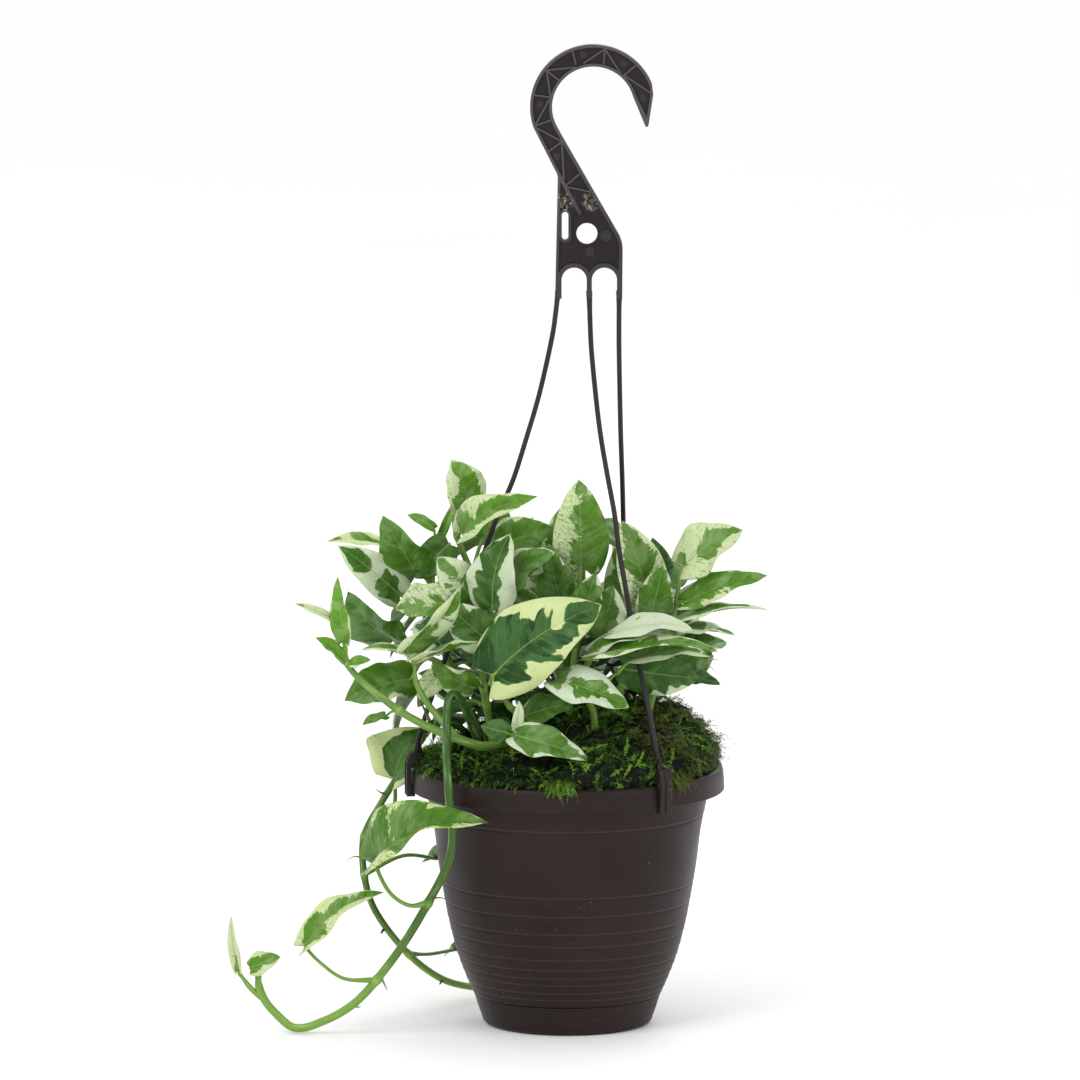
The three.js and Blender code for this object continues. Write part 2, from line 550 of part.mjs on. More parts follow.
// The moss lies on the potting mix in a lumpy mound that is higher on the right.
function mossTop(x, y) {
  const rise = Math.max(0, 1 - (x * x + y * y) / (MOSS_RADIUS * MOSS_RADIUS)) ** 0.7;
  const side = THREE.MathUtils.smoothstep(x, -45, 25);
  const roll = MOSS_EDGE + blend(MOSS_LEFT.roll, MOSS_RIGHT.roll, side);
  const mound = blend(MOSS_LEFT.mound, MOSS_RIGHT.mound, side) * rise;
  const lumps = 1.6 * Math.sin(x / 7 + 1) * Math.cos(y / 6) + 1.2 * Math.sin(x / 4 - y / 5);
  return POT_HEIGHT + roll + mound + lumps * (rise + 0.3);
}

function readLeaf([route, node, base, tip, width, face, arch, fold, sweep, ...via]) {
  return {
    route,
    node,
    base: seen(base),
    tip: seen(tip),
    width,
    face: new THREE.Vector3(...face),
    arch,
    fold,
    sweep,
    wave: WAVE,
    via: via.map(seen),
    rows: FRONT_ROWS,
  };
}

// A stem's first route starts upright through soil and moss, and bends only above them.
const FOOT_RISE = 3;
function readStem({ routes, leaves }) {
  const read = routes.map(([radius, ...points]) => ({ radius, points: points.map(seen) }));
  const [foot] = read[0].points;
  const top = mossTop(foot.x, foot.y);
  read[0].points.splice(1, 0, new THREE.Vector3(foot.x, foot.y, top + FOOT_RISE));
  return {
    routes: read,
    leaves: leaves.map(readLeaf),
  };
}

const stems = {};
Object.entries(STEMS).forEach(([name, stem]) => {
  stems[name] = readStem(stem);
});

// The stems that fill the back and the middle are drawn by a rule. Each has an azimuth and a
// height, and its leaves fan out round it. A drawn leaf is kept only where it stands clear.
const HIDDEN_STEMS = {
  stem_back_1: { azimuth: 12, out: 44, height: 205, count: 9, seed: 2 },
  stem_back_2: { azimuth: 48, out: 46, height: 214, count: 8, seed: 1 },
  stem_back_3: { azimuth: 88, out: 46, height: 222, count: 8, seed: 1 },
  stem_back_4: { azimuth: 128, out: 48, height: 224, count: 9, seed: 4 },
  stem_middle_1: { azimuth: 100, out: 12, height: 232, count: 8, seed: 1 },
};
const HIDDEN_RADIUS = 2.4;
const CLEARANCE = 5.6;
// What a drawn leaf may be: how far it turns from its stem's azimuth, its climb in degrees, the
// reach of its petiole, its length, its droop in radians, its lean and its width to length.
const FAN = {
  turn: 2.6, climb: [-25, 70], reach: [22, 44], lift: 6, long: [38, 56], droop: [0.3, 0.9],
  lean: 1.2, aspect: [0.5, 0.62], arch: [0.05, 0.12], fold: [8, 20], sweep: 0.08,
};
// Where it may be: over this height, and outside this cylinder below its top, where the rim is.
const LOWEST_BLADE = 118;
const RIM_ROOM = { radius: 88, top: 168 };
const SKYLINE = { top: 274, drop: 0.0055, left: 104, right: 80, radius: 120 };
const SPOT_ROWS = [0, 0.17, 0.34, 0.51, 0.68, 0.85, 1];
const SPOT_COLUMNS = [-1, -0.5, 0, 0.5, 1];
const SPOT_PARTS = [0, 0.25, 0.5, 0.75, 1];

// A small generator of evenly spread draws between 0 and 1.
function drawer(seed) {
  let state = seed * 7919;
  return () => {
    state = (state * 1664525 + 1013904223) % 4294967296;
    return state / 4294967296;
  };
}

function samplesOfLeaf(from, leaf) {
  const { pointAt } = blade(leaf);
  const spots = [];
  SPOT_ROWS.forEach((s) => {
    SPOT_COLUMNS.forEach((t) => spots.push(pointAt(s, t)));
  });
  return { blade: spots, petiole: samplesOfRoute([...petiolePoints(from, leaf), leaf.base]) };
}

function samplesOfRoute(points) {
  return points.slice(1).flatMap((point, k) => (
    SPOT_PARTS.map((part) => points[k].clone().lerp(point, part))));
}

function isClear(spots, others) {
  return spots.every((spot) => others.every((other) => spot.distanceTo(other) > CLEARANCE));
}

const taken = Object.values(STRANDS).flatMap((points) => (
  samplesOfRoute(points.map((point) => new THREE.Vector3(...point)))));
Object.values(stems).forEach(({ routes, leaves }) => {
  routes.forEach(({ points }) => taken.push(...samplesOfRoute(points)));
  leaves.forEach((leaf) => {
    const from = routes[leaf.route].points[leaf.node];
    const samples = samplesOfLeaf(from, leaf);
    taken.push(...samples.blade, ...samples.petiole);
  });
});

// The plant's rounded outline, as seen from the front and from above.
function isPastOutline({ x, y, z }) {
  const skyline = SKYLINE.top - SKYLINE.drop * x * x;
  const isHigh = z + y * Math.tan(VIEW_TILT) > skyline;
  const isWide = x < -SKYLINE.left || x > SKYLINE.right || Math.hypot(x, y) > SKYLINE.radius;
  return isHigh || isWide;
}

const TRIES = 500;
Object.entries(HIDDEN_STEMS).forEach(([name, { azimuth, out, height, count, seed }]) => {
  const draw = drawer(seed);
  const turn = THREE.MathUtils.degToRad(azimuth);
  const at = (reach, z) => new THREE.Vector3(reach * Math.cos(turn), reach * Math.sin(turn), z);
  const top = mossTop(at(out, 0).x, at(out, 0).y) + FOOT_RISE;
  const points = [at(out, 126), at(out, top), at(out + 7, 186), at(out + 12, height)];
  const leaves = [];
  const own = [];
  const petioles = [];
  for (let tries = 0; tries < TRIES && leaves.length < count; tries += 1) {
    const heading = turn + (draw() - 0.5) * FAN.turn;
    const climb = THREE.MathUtils.degToRad(blend(...FAN.climb, draw()));
    const reach = blend(...FAN.reach, draw());
    const long = blend(...FAN.long, draw());
    const node = 1 + Math.floor(draw() * 3);
    const from = points[node];
    const base = from.clone().add(new THREE.Vector3(
      reach * Math.cos(heading) * Math.cos(climb),
      reach * Math.sin(heading) * Math.cos(climb),
      reach * Math.sin(climb) + FAN.lift));
    const droop = climb - blend(...FAN.droop, draw());
    const tip = base.clone().add(new THREE.Vector3(
      long * Math.cos(heading) * Math.cos(droop),
      long * Math.sin(heading) * Math.cos(droop),
      long * Math.sin(droop)));
    const lean = (draw() - 0.5) * FAN.lean;
    const leaf = {
      route: 0,
      node,
      base,
      tip,
      width: long * blend(...FAN.aspect, draw()),
      face: new THREE.Vector3(
        Math.cos(heading) * 0.5 - Math.sin(heading) * lean,
        Math.sin(heading) * 0.5 + Math.cos(heading) * lean,
        1),
      arch: blend(...FAN.arch, draw()),
      fold: blend(...FAN.fold, draw()),
      sweep: (draw() - 0.5) * FAN.sweep,
      wave: WAVE,
      via: [],
      rows: BACK_ROWS,
    };
    const samples = samplesOfLeaf(from, leaf);
    const spots = [...samples.blade, ...samples.petiole];
    const low = Math.min(...samples.blade.map((spot) => spot.z));
    const inRim = ({ x, y, z }) => Math.hypot(x, y) < RIM_ROOM.radius && z < RIM_ROOM.top;
    const fits = low > LOWEST_BLADE && !samples.blade.some(inRim) && !spots.some(isPastOutline);
    if (fits && isClear(spots, taken) && isClear(samples.blade, own)) {
      leaves.push(leaf);
      own.push(...samples.blade);
      petioles.push(...samples.petiole);
    }
  }
  taken.push(...own, ...petioles, ...samplesOfRoute(points));
  stems[name] = { routes: [{ radius: HIDDEN_RADIUS, points }], leaves };
});

// The joined body of a leafy stem. Its foot stands upright in a plain hole in moss and soil.
function stemSolid({ routes, leaves }) {
  const stalks = routes.map(({ radius, points }) => tube(points, radius, 5));
  const blades = leaves.map((leaf) => leafSolid(routes[leaf.route].points[leaf.node], leaf));
  return joined([...stalks, ...blades]);
}

const HOLE_ROOM = 0.9;
const stemHoles = Object.entries(stems).map(([name, stem]) => {
  place(name, stemSolid(stem), 'foliage');
  const [{ radius, points: [foot] }] = stem.routes;
  const top = mossTop(foot.x, foot.y) + FOOT_RISE;
  const wide = radius + HOLE_ROOM;
  const drill = new THREE.CylinderGeometry(wide, wide, top - foot.z + 2, 5);
  drill.rotateX(Math.PI / 2).translate(foot.x, foot.y, (top + foot.z) / 2);
  return solid(drill);
});

// The potting mix fills the pot, and the moss lies on it. Both are cut for the stems, and the
// moss for the clips and the strands too.
const soilInside = [[41.4, 6.5], [44.7, 15.5], [57.4, 43], [67.8, 102.4], [72.8, 126]];
const soilBlock = turned([[0, 6.5], ...soilInside, [74.4, SOIL_TOP], [0, SOIL_TOP]]);

const MOSS_RINGS = [MOSS_RADIUS, 71, 58, 42, 22, 0];
const MOSS_AROUND = 24;
const mossBottom = POT_HEIGHT + GAP;
const mossProfile = [
  [0, mossBottom], [MOSS_RADIUS, mossBottom], ...MOSS_RINGS.map((r) => [r, POT_HEIGHT + 13]),
];
const mossShape = new THREE.LatheGeometry(
  mossProfile.map(([r, z]) => new THREE.Vector2(r, z)), MOSS_AROUND).rotateX(Math.PI / 2);
const mossPoints = mossShape.getAttribute('position');
for (let k = 0; k < mossPoints.count; k += 1) {
  if (mossPoints.getZ(k) > POT_HEIGHT + 1) {
    mossPoints.setZ(k, mossTop(mossPoints.getX(k), mossPoints.getY(k)));
  }
}
const clipRoom = Object.values(CLIP_AZIMUTHS).map((azimuth) => {
  const room = new THREE.BoxGeometry(18, CLIP_WIDTH + 1, 30);
  room.translate(RIM_RADIUS - 2, 0, POT_HEIGHT + 11);
  return solid(room.rotateZ(THREE.MathUtils.degToRad(azimuth)));
});
const holes = joined(stemHoles);
place('soil', soilBlock.subtract(holes), 'soil');
place('moss', solid(mossShape).subtract(joined([holes, ...clipRoom])), 'moss');

export default root;
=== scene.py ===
import math

import bpy
import numpy as np
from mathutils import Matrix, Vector
from mathutils.geometry import tessellate_polygon


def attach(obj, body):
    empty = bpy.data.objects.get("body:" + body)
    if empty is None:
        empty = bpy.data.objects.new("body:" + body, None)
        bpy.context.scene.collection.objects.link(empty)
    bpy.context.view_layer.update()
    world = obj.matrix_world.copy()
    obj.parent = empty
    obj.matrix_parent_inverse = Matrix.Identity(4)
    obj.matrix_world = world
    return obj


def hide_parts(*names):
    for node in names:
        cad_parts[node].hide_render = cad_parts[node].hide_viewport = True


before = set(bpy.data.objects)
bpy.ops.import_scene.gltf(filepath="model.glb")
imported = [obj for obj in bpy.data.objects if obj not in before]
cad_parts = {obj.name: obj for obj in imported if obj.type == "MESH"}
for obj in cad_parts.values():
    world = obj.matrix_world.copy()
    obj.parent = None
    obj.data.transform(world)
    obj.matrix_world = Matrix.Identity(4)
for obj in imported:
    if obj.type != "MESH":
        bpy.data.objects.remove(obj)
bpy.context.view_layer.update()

# The pot
# An injection-moulded pot of dark brown polypropylene. Its wall flares upwards, carries shallow
# turned-looking rings, and folds out at the top into a rim band. Five drain holes go through its
# floor. Lengths in this file are millimetres until a mesh is built, which takes metres.
MM = 0.001
RIM_RADIUS = 82.5
POT_HEIGHT = 137
WALL = 1.6
POT_WALL = [(49.3, 15.9), (51.4, 20.6), (53.7, 26), (56.9, 34.5), (59.5, 43), (62.3, 54.5),
            (64.2, 64.2), (67.8, 85.4), (69.9, 102.4), (72.5, 115.6), (74.8, 126)]
POT_RINGS = [19, 22.9, 27.5, 31.3, 36, 41.6, 49, 56, 65.6, 75.7, 112]
RING_DEPTH = 0.35
RING_WIDTH = 0.55
AROUND = 200


def build_mesh(name, points, faces):
    """Makes a smooth-shaded object from points (n, 3) in millimetres and lists of faces, each an
    array of corner numbers with three or four in a row."""
    mesh = bpy.data.meshes.new(name)
    mesh.vertices.add(len(points))
    mesh.vertices.foreach_set("co", (points * MM).astype(np.float32).ravel())
    corners = np.concatenate([part.ravel() for part in faces])
    sizes = np.concatenate([np.full(len(part), part.shape[1]) for part in faces])
    starts = np.concatenate([[0], np.cumsum(sizes)[:-1]])
    mesh.loops.add(len(corners))
    mesh.loops.foreach_set("vertex_index", corners.astype(np.int32))
    mesh.polygons.add(len(sizes))
    mesh.polygons.foreach_set("loop_start", starts.astype(np.int32))
    mesh.polygons.foreach_set("use_smooth", np.ones(len(sizes), bool))
    mesh.update(calc_edges=True)
    made = bpy.data.objects.new(name, mesh)
    bpy.context.scene.collection.objects.link(made)
    return made


def ring_quads(rows, columns):
    """The faces between neighbours in a stack of closed rings, as corner numbers."""
    r = np.arange(rows - 1)[:, None] * columns
    c = np.arange(columns)[None, :]
    after = (c + 1) % columns
    return np.stack([r + c, r + after, r + columns + after, r + columns + c], -1).reshape(-1, 4)


def ring_skin(rings, first, last):
    """The closed skin of a stack of rings (rows, columns, 3), shut at each end by a fan of
    triangles to one point. Columns run anticlockwise about the way that the rows go."""
    rows, columns = rings.shape[:2]
    c = np.arange(columns)
    after = (c + 1) % columns
    foot = rows * columns
    top = (rows - 1) * columns
    low = np.stack([np.full(columns, foot), after, c], -1)
    high = np.stack([top + c, top + after, np.full(columns, foot + 1)], -1)
    points = np.concatenate([rings.reshape(-1, 3), [first, last]])
    return points, [ring_quads(rows, columns), low, high]


def merged(skins):
    """Several skins in one: their points end to end, and their faces counted on."""
    points = np.concatenate([skin[0] for skin in skins])
    counts = np.cumsum([0] + [len(skin[0]) for skin in skins])
    faces = [part + start for skin, start in zip(skins, counts) for part in skin[1]]
    return points, faces


def polar(radius, turn):
    return radius * np.cos(turn), radius * np.sin(turn)


def revolved(profile, around=AROUND):
    """The skin of a profile (n, 2) of radius and height, carried round Z. It shuts on the axis."""
    turn = np.linspace(0, 2 * np.pi, around, endpoint=False)
    height = np.repeat(profile[:, 1:], around, 1)
    rings = np.stack([*polar(profile[:, :1], turn), height], -1)
    return ring_skin(rings, (0, 0, profile[0, 1]), (0, 0, profile[-1, 1]))


def rounded(corners, radius, steps=4):
    """A line of corners whose inner ones are rounded: each becomes a quadratic curve that starts
    and ends the radius away from it, or half way to its neighbour."""
    line = np.array(corners, float)
    here = line[1:-1]

    def towards(neighbour):
        length = np.linalg.norm(neighbour - here, axis=1, keepdims=True)
        return here + (neighbour - here) / length * np.minimum(radius, length / 2.05)

    start, end = towards(line[:-2]), towards(line[2:])
    u = np.linspace(0, 1, steps)[None, :, None]
    curve = (1 - u) ** 2 * start[:, None] + 2 * u * (1 - u) * here[:, None] + u ** 2 * end[:, None]
    return np.concatenate([line[:1], curve.reshape(-1, line.shape[1]), line[-1:]])


def through(points, steps):
    """A smooth line through every point: Catmull-Rom pieces with so many steps in each."""
    line = np.array(points, float)
    held = np.concatenate([[2 * line[0] - line[1]], line, [2 * line[-1] - line[-2]]])
    a, b, c, d = held[:-3, None], held[1:-2, None], held[2:-1, None], held[3:, None]
    u = np.linspace(0, 1, steps, endpoint=False)[None, :, None]
    bend = 2 * b + (c - a) * u + (2 * a - 5 * b + 4 * c - d) * u ** 2
    curve = 0.5 * (bend + (3 * b - a - 3 * c + d) * u ** 3)
    return np.concatenate([curve.reshape(-1, line.shape[1]), line[-1:]])


def pot_outside():
    """The wall's radius at each height, with a small groove and a lip over it at each ring."""
    wall = through(POT_WALL, 12)
    near = np.linspace(-1.6, 1.6, 17)
    heights = [np.linspace(POT_WALL[0][1], POT_WALL[-1][1], 90)]
    heights += [ring + near for ring in POT_RINGS]
    height = np.unique(np.concatenate(heights))
    radius = np.interp(height, wall[:, 1], wall[:, 0])
    for ring in POT_RINGS:
        radius -= RING_DEPTH * np.exp(-((height - ring) / RING_WIDTH) ** 2)
        radius += 0.4 * RING_DEPTH * np.exp(-((height - ring - 1.1) / RING_WIDTH) ** 2)
    return np.stack([radius, height], -1)


# The pot's floor lies 4.6 above the ground, and its foot goes down into the saucer.
foot = rounded([(0.5, 4.6), (43.6, 4.6), (46.6, 15.9), (49.3, 15.9)], 1)
under_band = rounded([
    (74.8, 126), (76.6, POT_HEIGHT - WALL), (RIM_RADIUS - WALL, POT_HEIGHT - WALL),
    (RIM_RADIUS - WALL, 124.5), (RIM_RADIUS, 124.5), (81.9, 133.6), (81.2, 136.2), (79.4, 137),
    (75.2, 137), (73.1, 126)], 0.7, 5)
pot_inside = rounded([
    (73.1, 126), (68.2, 102.4), (62.5, 64.2), (57.8, 43), (51.9, 26), (45, 15.5), (41.8, 6.2),
    (0.5, 6.2)], 2)
pot_profile = np.concatenate([foot, pot_outside(), under_band[1:], pot_inside[1:]])
pot = build_mesh("pot_finished", *revolved(pot_profile))


def cut(piece, tools, operation="DIFFERENCE"):
    """Cuts the tools from a piece, or joins them to it, and clears the tools away."""
    group = bpy.data.collections.new("tools")
    for tool in tools:
        group.objects.link(tool)
    change = piece.modifiers.new("cut", "BOOLEAN")
    change.operation = operation
    change.operand_type = "COLLECTION"
    change.collection = group
    change.solver = "MANIFOLD"
    graph = bpy.context.evaluated_depsgraph_get()
    result = bpy.data.meshes.new_from_object(piece.evaluated_get(graph))
    piece.modifiers.clear()
    piece.data = result
    for tool in tools:
        bpy.data.objects.remove(tool)
    bpy.data.collections.remove(group)


DRAIN_COUNT = 5
DRAIN_RADIUS = 4
DRAIN_CIRCLE = 28
drills = []
for k in range(DRAIN_COUNT):
    turn = 2 * math.pi * k / DRAIN_COUNT
    points, faces = revolved(np.array([(DRAIN_RADIUS, 2), (DRAIN_RADIUS, 9)]), 32)
    points = points + (DRAIN_CIRCLE * math.cos(turn), DRAIN_CIRCLE * math.sin(turn), 0)
    drills.append(build_mesh("drill", points, faces))
cut(pot, drills)


def feed(tree, made, inputs):
    """Sets the inputs of a shader node, by place or name, to values or to other nodes' sockets."""
    for key, value in inputs.items():
        if isinstance(value, bpy.types.NodeSocket):
            tree.links.new(value, made.inputs[key])
        else:
            made.inputs[key].default_value = value


def node(tree, kind, inputs=None, **settings):
    made = tree.nodes.new("ShaderNode" + kind)
    for key, value in settings.items():
        setattr(made, key, value)
    feed(tree, made, inputs or {})
    return made


def carried(tree, name, output="Fac"):
    """What the mesh carries under a name for each of its points."""
    return node(tree, "Attribute", attribute_name=name).outputs[output]


def maths(tree, operation, first, second=0.0):
    return node(tree, "Math", {0: first, 1: second}, operation=operation).outputs[0]


def times(tree, first, second):
    return maths(tree, "MULTIPLY", first, second)


def plus(tree, first, second):
    return maths(tree, "ADD", first, second)


def mixed(tree, share, first, second):
    """Goes from the first colour to the second as the share goes from 0 to 1."""
    return node(tree, "Mix", {0: share, 6: first, 7: second}, data_type="RGBA").outputs[2]


def stepped(tree, value, low, high, start=0.0, end=1.0):
    """A smooth step of a value, from start to end as it goes from low to high."""
    made = node(tree, "MapRange", {0: value, 1: low, 2: high, 3: start, 4: end},
                interpolation_type="SMOOTHSTEP")
    return made.outputs[0]


def noise(tree, vector, scale, detail=3.0, roughness=0.5):
    made = node(tree, "TexNoise", {"Vector": vector, "Scale": scale, "Detail": detail,
                                   "Roughness": roughness})
    return made.outputs[0]


def bare_material(name):
    """A new material: its tree, its shader and the place of a point on the object, in metres."""
    made = bpy.data.materials.new(name)
    made.use_nodes = True
    tree = made.node_tree
    place = node(tree, "TexCoord").outputs["Object"]
    return made, tree, tree.nodes["Principled BSDF"], place


def colour(red, green, blue):
    """A display colour from 0 to 255 as the linear one that a shader takes."""
    share = np.array([red, green, blue]) / 255
    linear = np.where(share > 0.04045, ((share + 0.055) / 1.055) ** 2.4, share / 12.92)
    return (*linear, 1.0)


def bump(tree, height, strength, distance):
    made = node(tree, "Bump", {"Height": height, "Strength": strength, "Distance": distance})
    return made.outputs["Normal"]


def plastic(name, dark, light, pale, gloss, dust):
    """Dark moulded plastic: slow changes of shade, a fine grain in its gloss, painted highlights on
    the lips and edges that the mesh marks, and specks of dust and pale soil that cling to it."""
    made, tree, shader, place = bare_material(name)
    cloudy = noise(tree, place, 18, 4, 0.6)
    grain = noise(tree, place, 1500, 2)
    shade = mixed(tree, stepped(tree, cloudy, 0.35, 0.7), dark, light)
    shade = mixed(tree, stepped(tree, grain, 0.45, 0.75, 0, 0.25), shade, colour(60, 48, 45))
    # Painted highlight: the pale colour goes where the mesh carries it, on lips and edges.
    shade = mixed(tree, carried(tree, "painted_highlight"), shade, pale)
    specks = stepped(tree, noise(tree, place, 620, 1.5), 0.73, 0.78)
    patches = stepped(tree, noise(tree, place, 25, 2), 0.45, 0.65)
    share = times(tree, times(tree, specks, patches), dust)
    shade = mixed(tree, share, shade, colour(150, 138, 124))
    rough = stepped(tree, cloudy, 0.3, 0.7, gloss - 0.05, gloss + 0.08)
    rough = plus(tree, rough, times(tree, specks, 0.2))
    feed(tree, shader, {"Base Color": shade, "Roughness": rough, "Specular IOR Level": 0.18,
                        "Normal": bump(tree, grain, 0.12, 0.0004)})
    return made, shade, shader


def set_numbers(piece, name, values, kind="FLOAT", field="value"):
    """Stores a number, a vector or a colour at each point of a piece, for its material."""
    made = piece.data.attributes.new(name, kind, "POINT")
    made.data.foreach_set(field, np.asarray(values, np.float32).ravel())


def points_of(piece):
    """The points of a piece's mesh (n, 3), in millimetres."""
    flat = np.empty(len(piece.data.vertices) * 3, np.float32)
    piece.data.vertices.foreach_get("co", flat)
    return flat.reshape(-1, 3) / MM


def finish(piece, material, slot, *nodes):
    """Gives a piece its material and sets it on the body in place of CAD nodes. Its slot is not
    used.
    """
    piece.data.materials.clear()
    piece.data.materials.append(material)
    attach(piece, "root")
    if nodes:
        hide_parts(*nodes)


# A painted highlight lightens the lips over the rings, on the outside alone.
RING_HIGHLIGHT = 0.16
place = points_of(pot)
outer = np.hypot(place[:, 0], place[:, 1]) > np.interp(place[:, 2], [0, 126], [40, 71])
lip = np.exp(-((place[:, 2:] - np.array(POT_RINGS) - 1) / 0.4) ** 2).max(1)
set_numbers(pot, "painted_highlight", RING_HIGHLIGHT * lip * outer)
# The third colour is the painted highlight on the ring lips.
pot_plastic = plastic(
    "pot_plastic", colour(28, 17, 15), colour(38, 26, 23), colour(104, 90, 84), 0.42, 0.5)[0]
finish(pot, pot_plastic, "pot_plastic", "pot")

# The saucer
# A thin dish moulded of the same plastic, pushed on round the pot's foot. Its side is ribbed with
# fine rings, and its foot turns in over a soft edge.
SAUCER_RING = 0.14
SAUCER_RING_GAP = 1.5
saucer_side = np.linspace(4.8, 15.2, 60)
saucer_radius = np.interp(saucer_side, [4.8, 9, 15.6], [45.4, 46.9, 48.9])
saucer_radius += SAUCER_RING * np.sin((saucer_side - 4.8) * 2 * np.pi / SAUCER_RING_GAP)
saucer_profile = np.concatenate([
    rounded([(0.5, 0), (42, 0), (44.4, 1.4), (45.4, 4.8)], 1.2, 6),
    np.stack([saucer_radius, saucer_side], -1)[1:],
    rounded([(48.8, 15.3), (48.7, 15.6), (47.4, 15.6), (47.2, 15.3), (45.3, 9), (43.9, 4.4),
             (42.4, 2.2), (41, 1.6), (0.5, 1.6)], 0.6),
])
saucer = build_mesh("saucer_finished", *revolved(saucer_profile))
finish(saucer, pot_plastic, "pot_plastic", "saucer")

# The hanger
# One moulding of dark plastic. A wall runs round the edge of the hook and the plate, a thin web
# with thin ribs fills it, and round marks show where the mould's pins pushed it out. Three
# round strands run down from the plate's legs to clips that grip the rim.
HOOK_CENTRE = (13.4, 484.8)
HOOK_OUTER = 33
HOOK_INNER = 21.5
PLATE_THICK = 4.4
EDGE_WALL = 1.6
LEG_BOTTOM = 384
ARCH_TOP = 400.4


def arc(centre, radius, start, end, steps):
    """Points of an arc in X and Z, from one angle to another in degrees."""
    turn = np.radians(np.linspace(start, end, steps))
    return np.stack(polar(radius, turn), -1) + centre


def unit(vectors):
    return vectors / np.linalg.norm(vectors, axis=-1, keepdims=True)


def slab(outline, holes, thick, edge):
    """A flat plate in X and Z, centred on Y = 0, whose edges are rounded off. Each outline is
    carried from face to face and drawn in by a quarter circle next to each face."""
    loops = []
    for number, corners in enumerate([outline, *holes]):
        loop = np.array(corners, float)
        x, z = loop.T
        area = np.sum(x * np.roll(z, -1) - np.roll(x, -1) * z)
        loops.append(loop if (area > 0) == (number == 0) else loop[::-1])
    bend = np.linspace(0, np.pi / 2, 4)
    inset = edge * (1 - np.concatenate([np.sin(bend), np.sin(bend)[::-1]]))
    depth = thick / 2 - edge * (1 - np.cos(bend))
    depth = np.concatenate([-depth, depth[::-1]])
    skins, caps = [], []
    for loop in loops:
        ahead = unit(np.roll(loop, -1, 0) - loop)
        normal = np.stack([ahead[:, 1], -ahead[:, 0]], -1)
        before = np.roll(normal, 1, 0)
        mitre = (normal + before) / (1 + np.sum(normal * before, 1, keepdims=True)).clip(0.5)
        flat = loop[None] - inset[:, None, None] * mitre[None]
        across = np.broadcast_to(depth[:, None], flat.shape[:2])
        points = np.stack([flat[..., 0], across, flat[..., 1]], -1)
        quads = np.roll(ring_quads(*points.shape[:2])[:, ::-1], 1, axis=1)
        skins.append((points.reshape(-1, 3), [quads]))
        caps.append(flat[0])
    points, faces = merged(skins)
    ends = np.cumsum([0] + [len(skin[0]) for skin in skins])
    triangles = np.array(tessellate_polygon([[Vector((*p, 0)) for p in cap] for cap in caps]))
    flat = np.concatenate(caps)
    first, second, third = flat[triangles[:, 0]], flat[triangles[:, 1]], flat[triangles[:, 2]]
    one, two = second - first, third - first
    area = one[:, 0] * two[:, 1] - one[:, 1] * two[:, 0]
    triangles = np.where(area[:, None] > 0, triangles, triangles[:, ::-1])
    counts = [len(cap) for cap in caps]
    front = np.concatenate([start + np.arange(n) for start, n in zip(ends, counts)])
    back = np.concatenate([end - n + np.arange(n) for end, n in zip(ends[1:], counts)])
    return points, [*faces, front[triangles], back[triangles[:, ::-1]]]


def tube(path, radius, sides=12):
    """A round tube along a smooth path, with a radius at each of its points. Its rings stand
    square to the path, turned from the one direction that the path keeps away from."""
    ahead = unit(np.gradient(path, axis=0))
    away = np.linalg.svd(ahead, full_matrices=True)[2][-1]
    side = unit(np.cross(away, ahead))
    up = np.cross(ahead, side)
    turn = np.linspace(0, 2 * np.pi, sides, endpoint=False)[None, :, None]
    wide = np.broadcast_to(np.asarray(radius, float), len(path))[:, None, None]
    rings = path[:, None] + wide * (side[:, None] * np.cos(turn) + up[:, None] * np.sin(turn))
    return ring_skin(rings, path[0], path[-1])


outer_arc = arc(HOOK_CENTRE, HOOK_OUTER, 22, 198, 70)
inner_arc = arc(HOOK_CENTRE, HOOK_INNER, 212, 16, 64)
ARCHES = [(-3.1, 10), (12.7, 25.8)]
arch_radius = (ARCHES[0][1] - ARCHES[0][0]) / 2
crowns = [((left + right) / 2, ARCH_TOP - arch_radius) for left, right in ARCHES]
legs = np.concatenate([
    np.concatenate([[(x - arch_radius, LEG_BOTTOM)], arc((x, z), arch_radius, 180, 0, 25),
                    [(x + arch_radius, LEG_BOTTOM)]]) for x, z in crowns])
blank = np.concatenate([
    [(41.6, 474.4), (42.3, 475.6), (44.7, 491.5)], outer_arc, [(-5.1, 449), (-6.5, LEG_BOTTOM)],
    legs, [(28.6, LEG_BOTTOM), (28.8, 410.4), (28.4, 413.6), (27.2, 417.1), (-3.6, 471)],
    inner_arc, [(40.6, 474.8)]])
SLOT_TOP = (-1.3, 428.1)
SLOT_FOOT = (-1.3, 416.7)


def slot_outline(radius):
    return np.concatenate([arc(SLOT_TOP, radius, 0, 180, 12), arc(SLOT_FOOT, radius, 180, 360, 12)])


slot_hole = slot_outline(1.7)
round_hole = arc((10.1, 418.3), 5.5, 0, 353, 48)
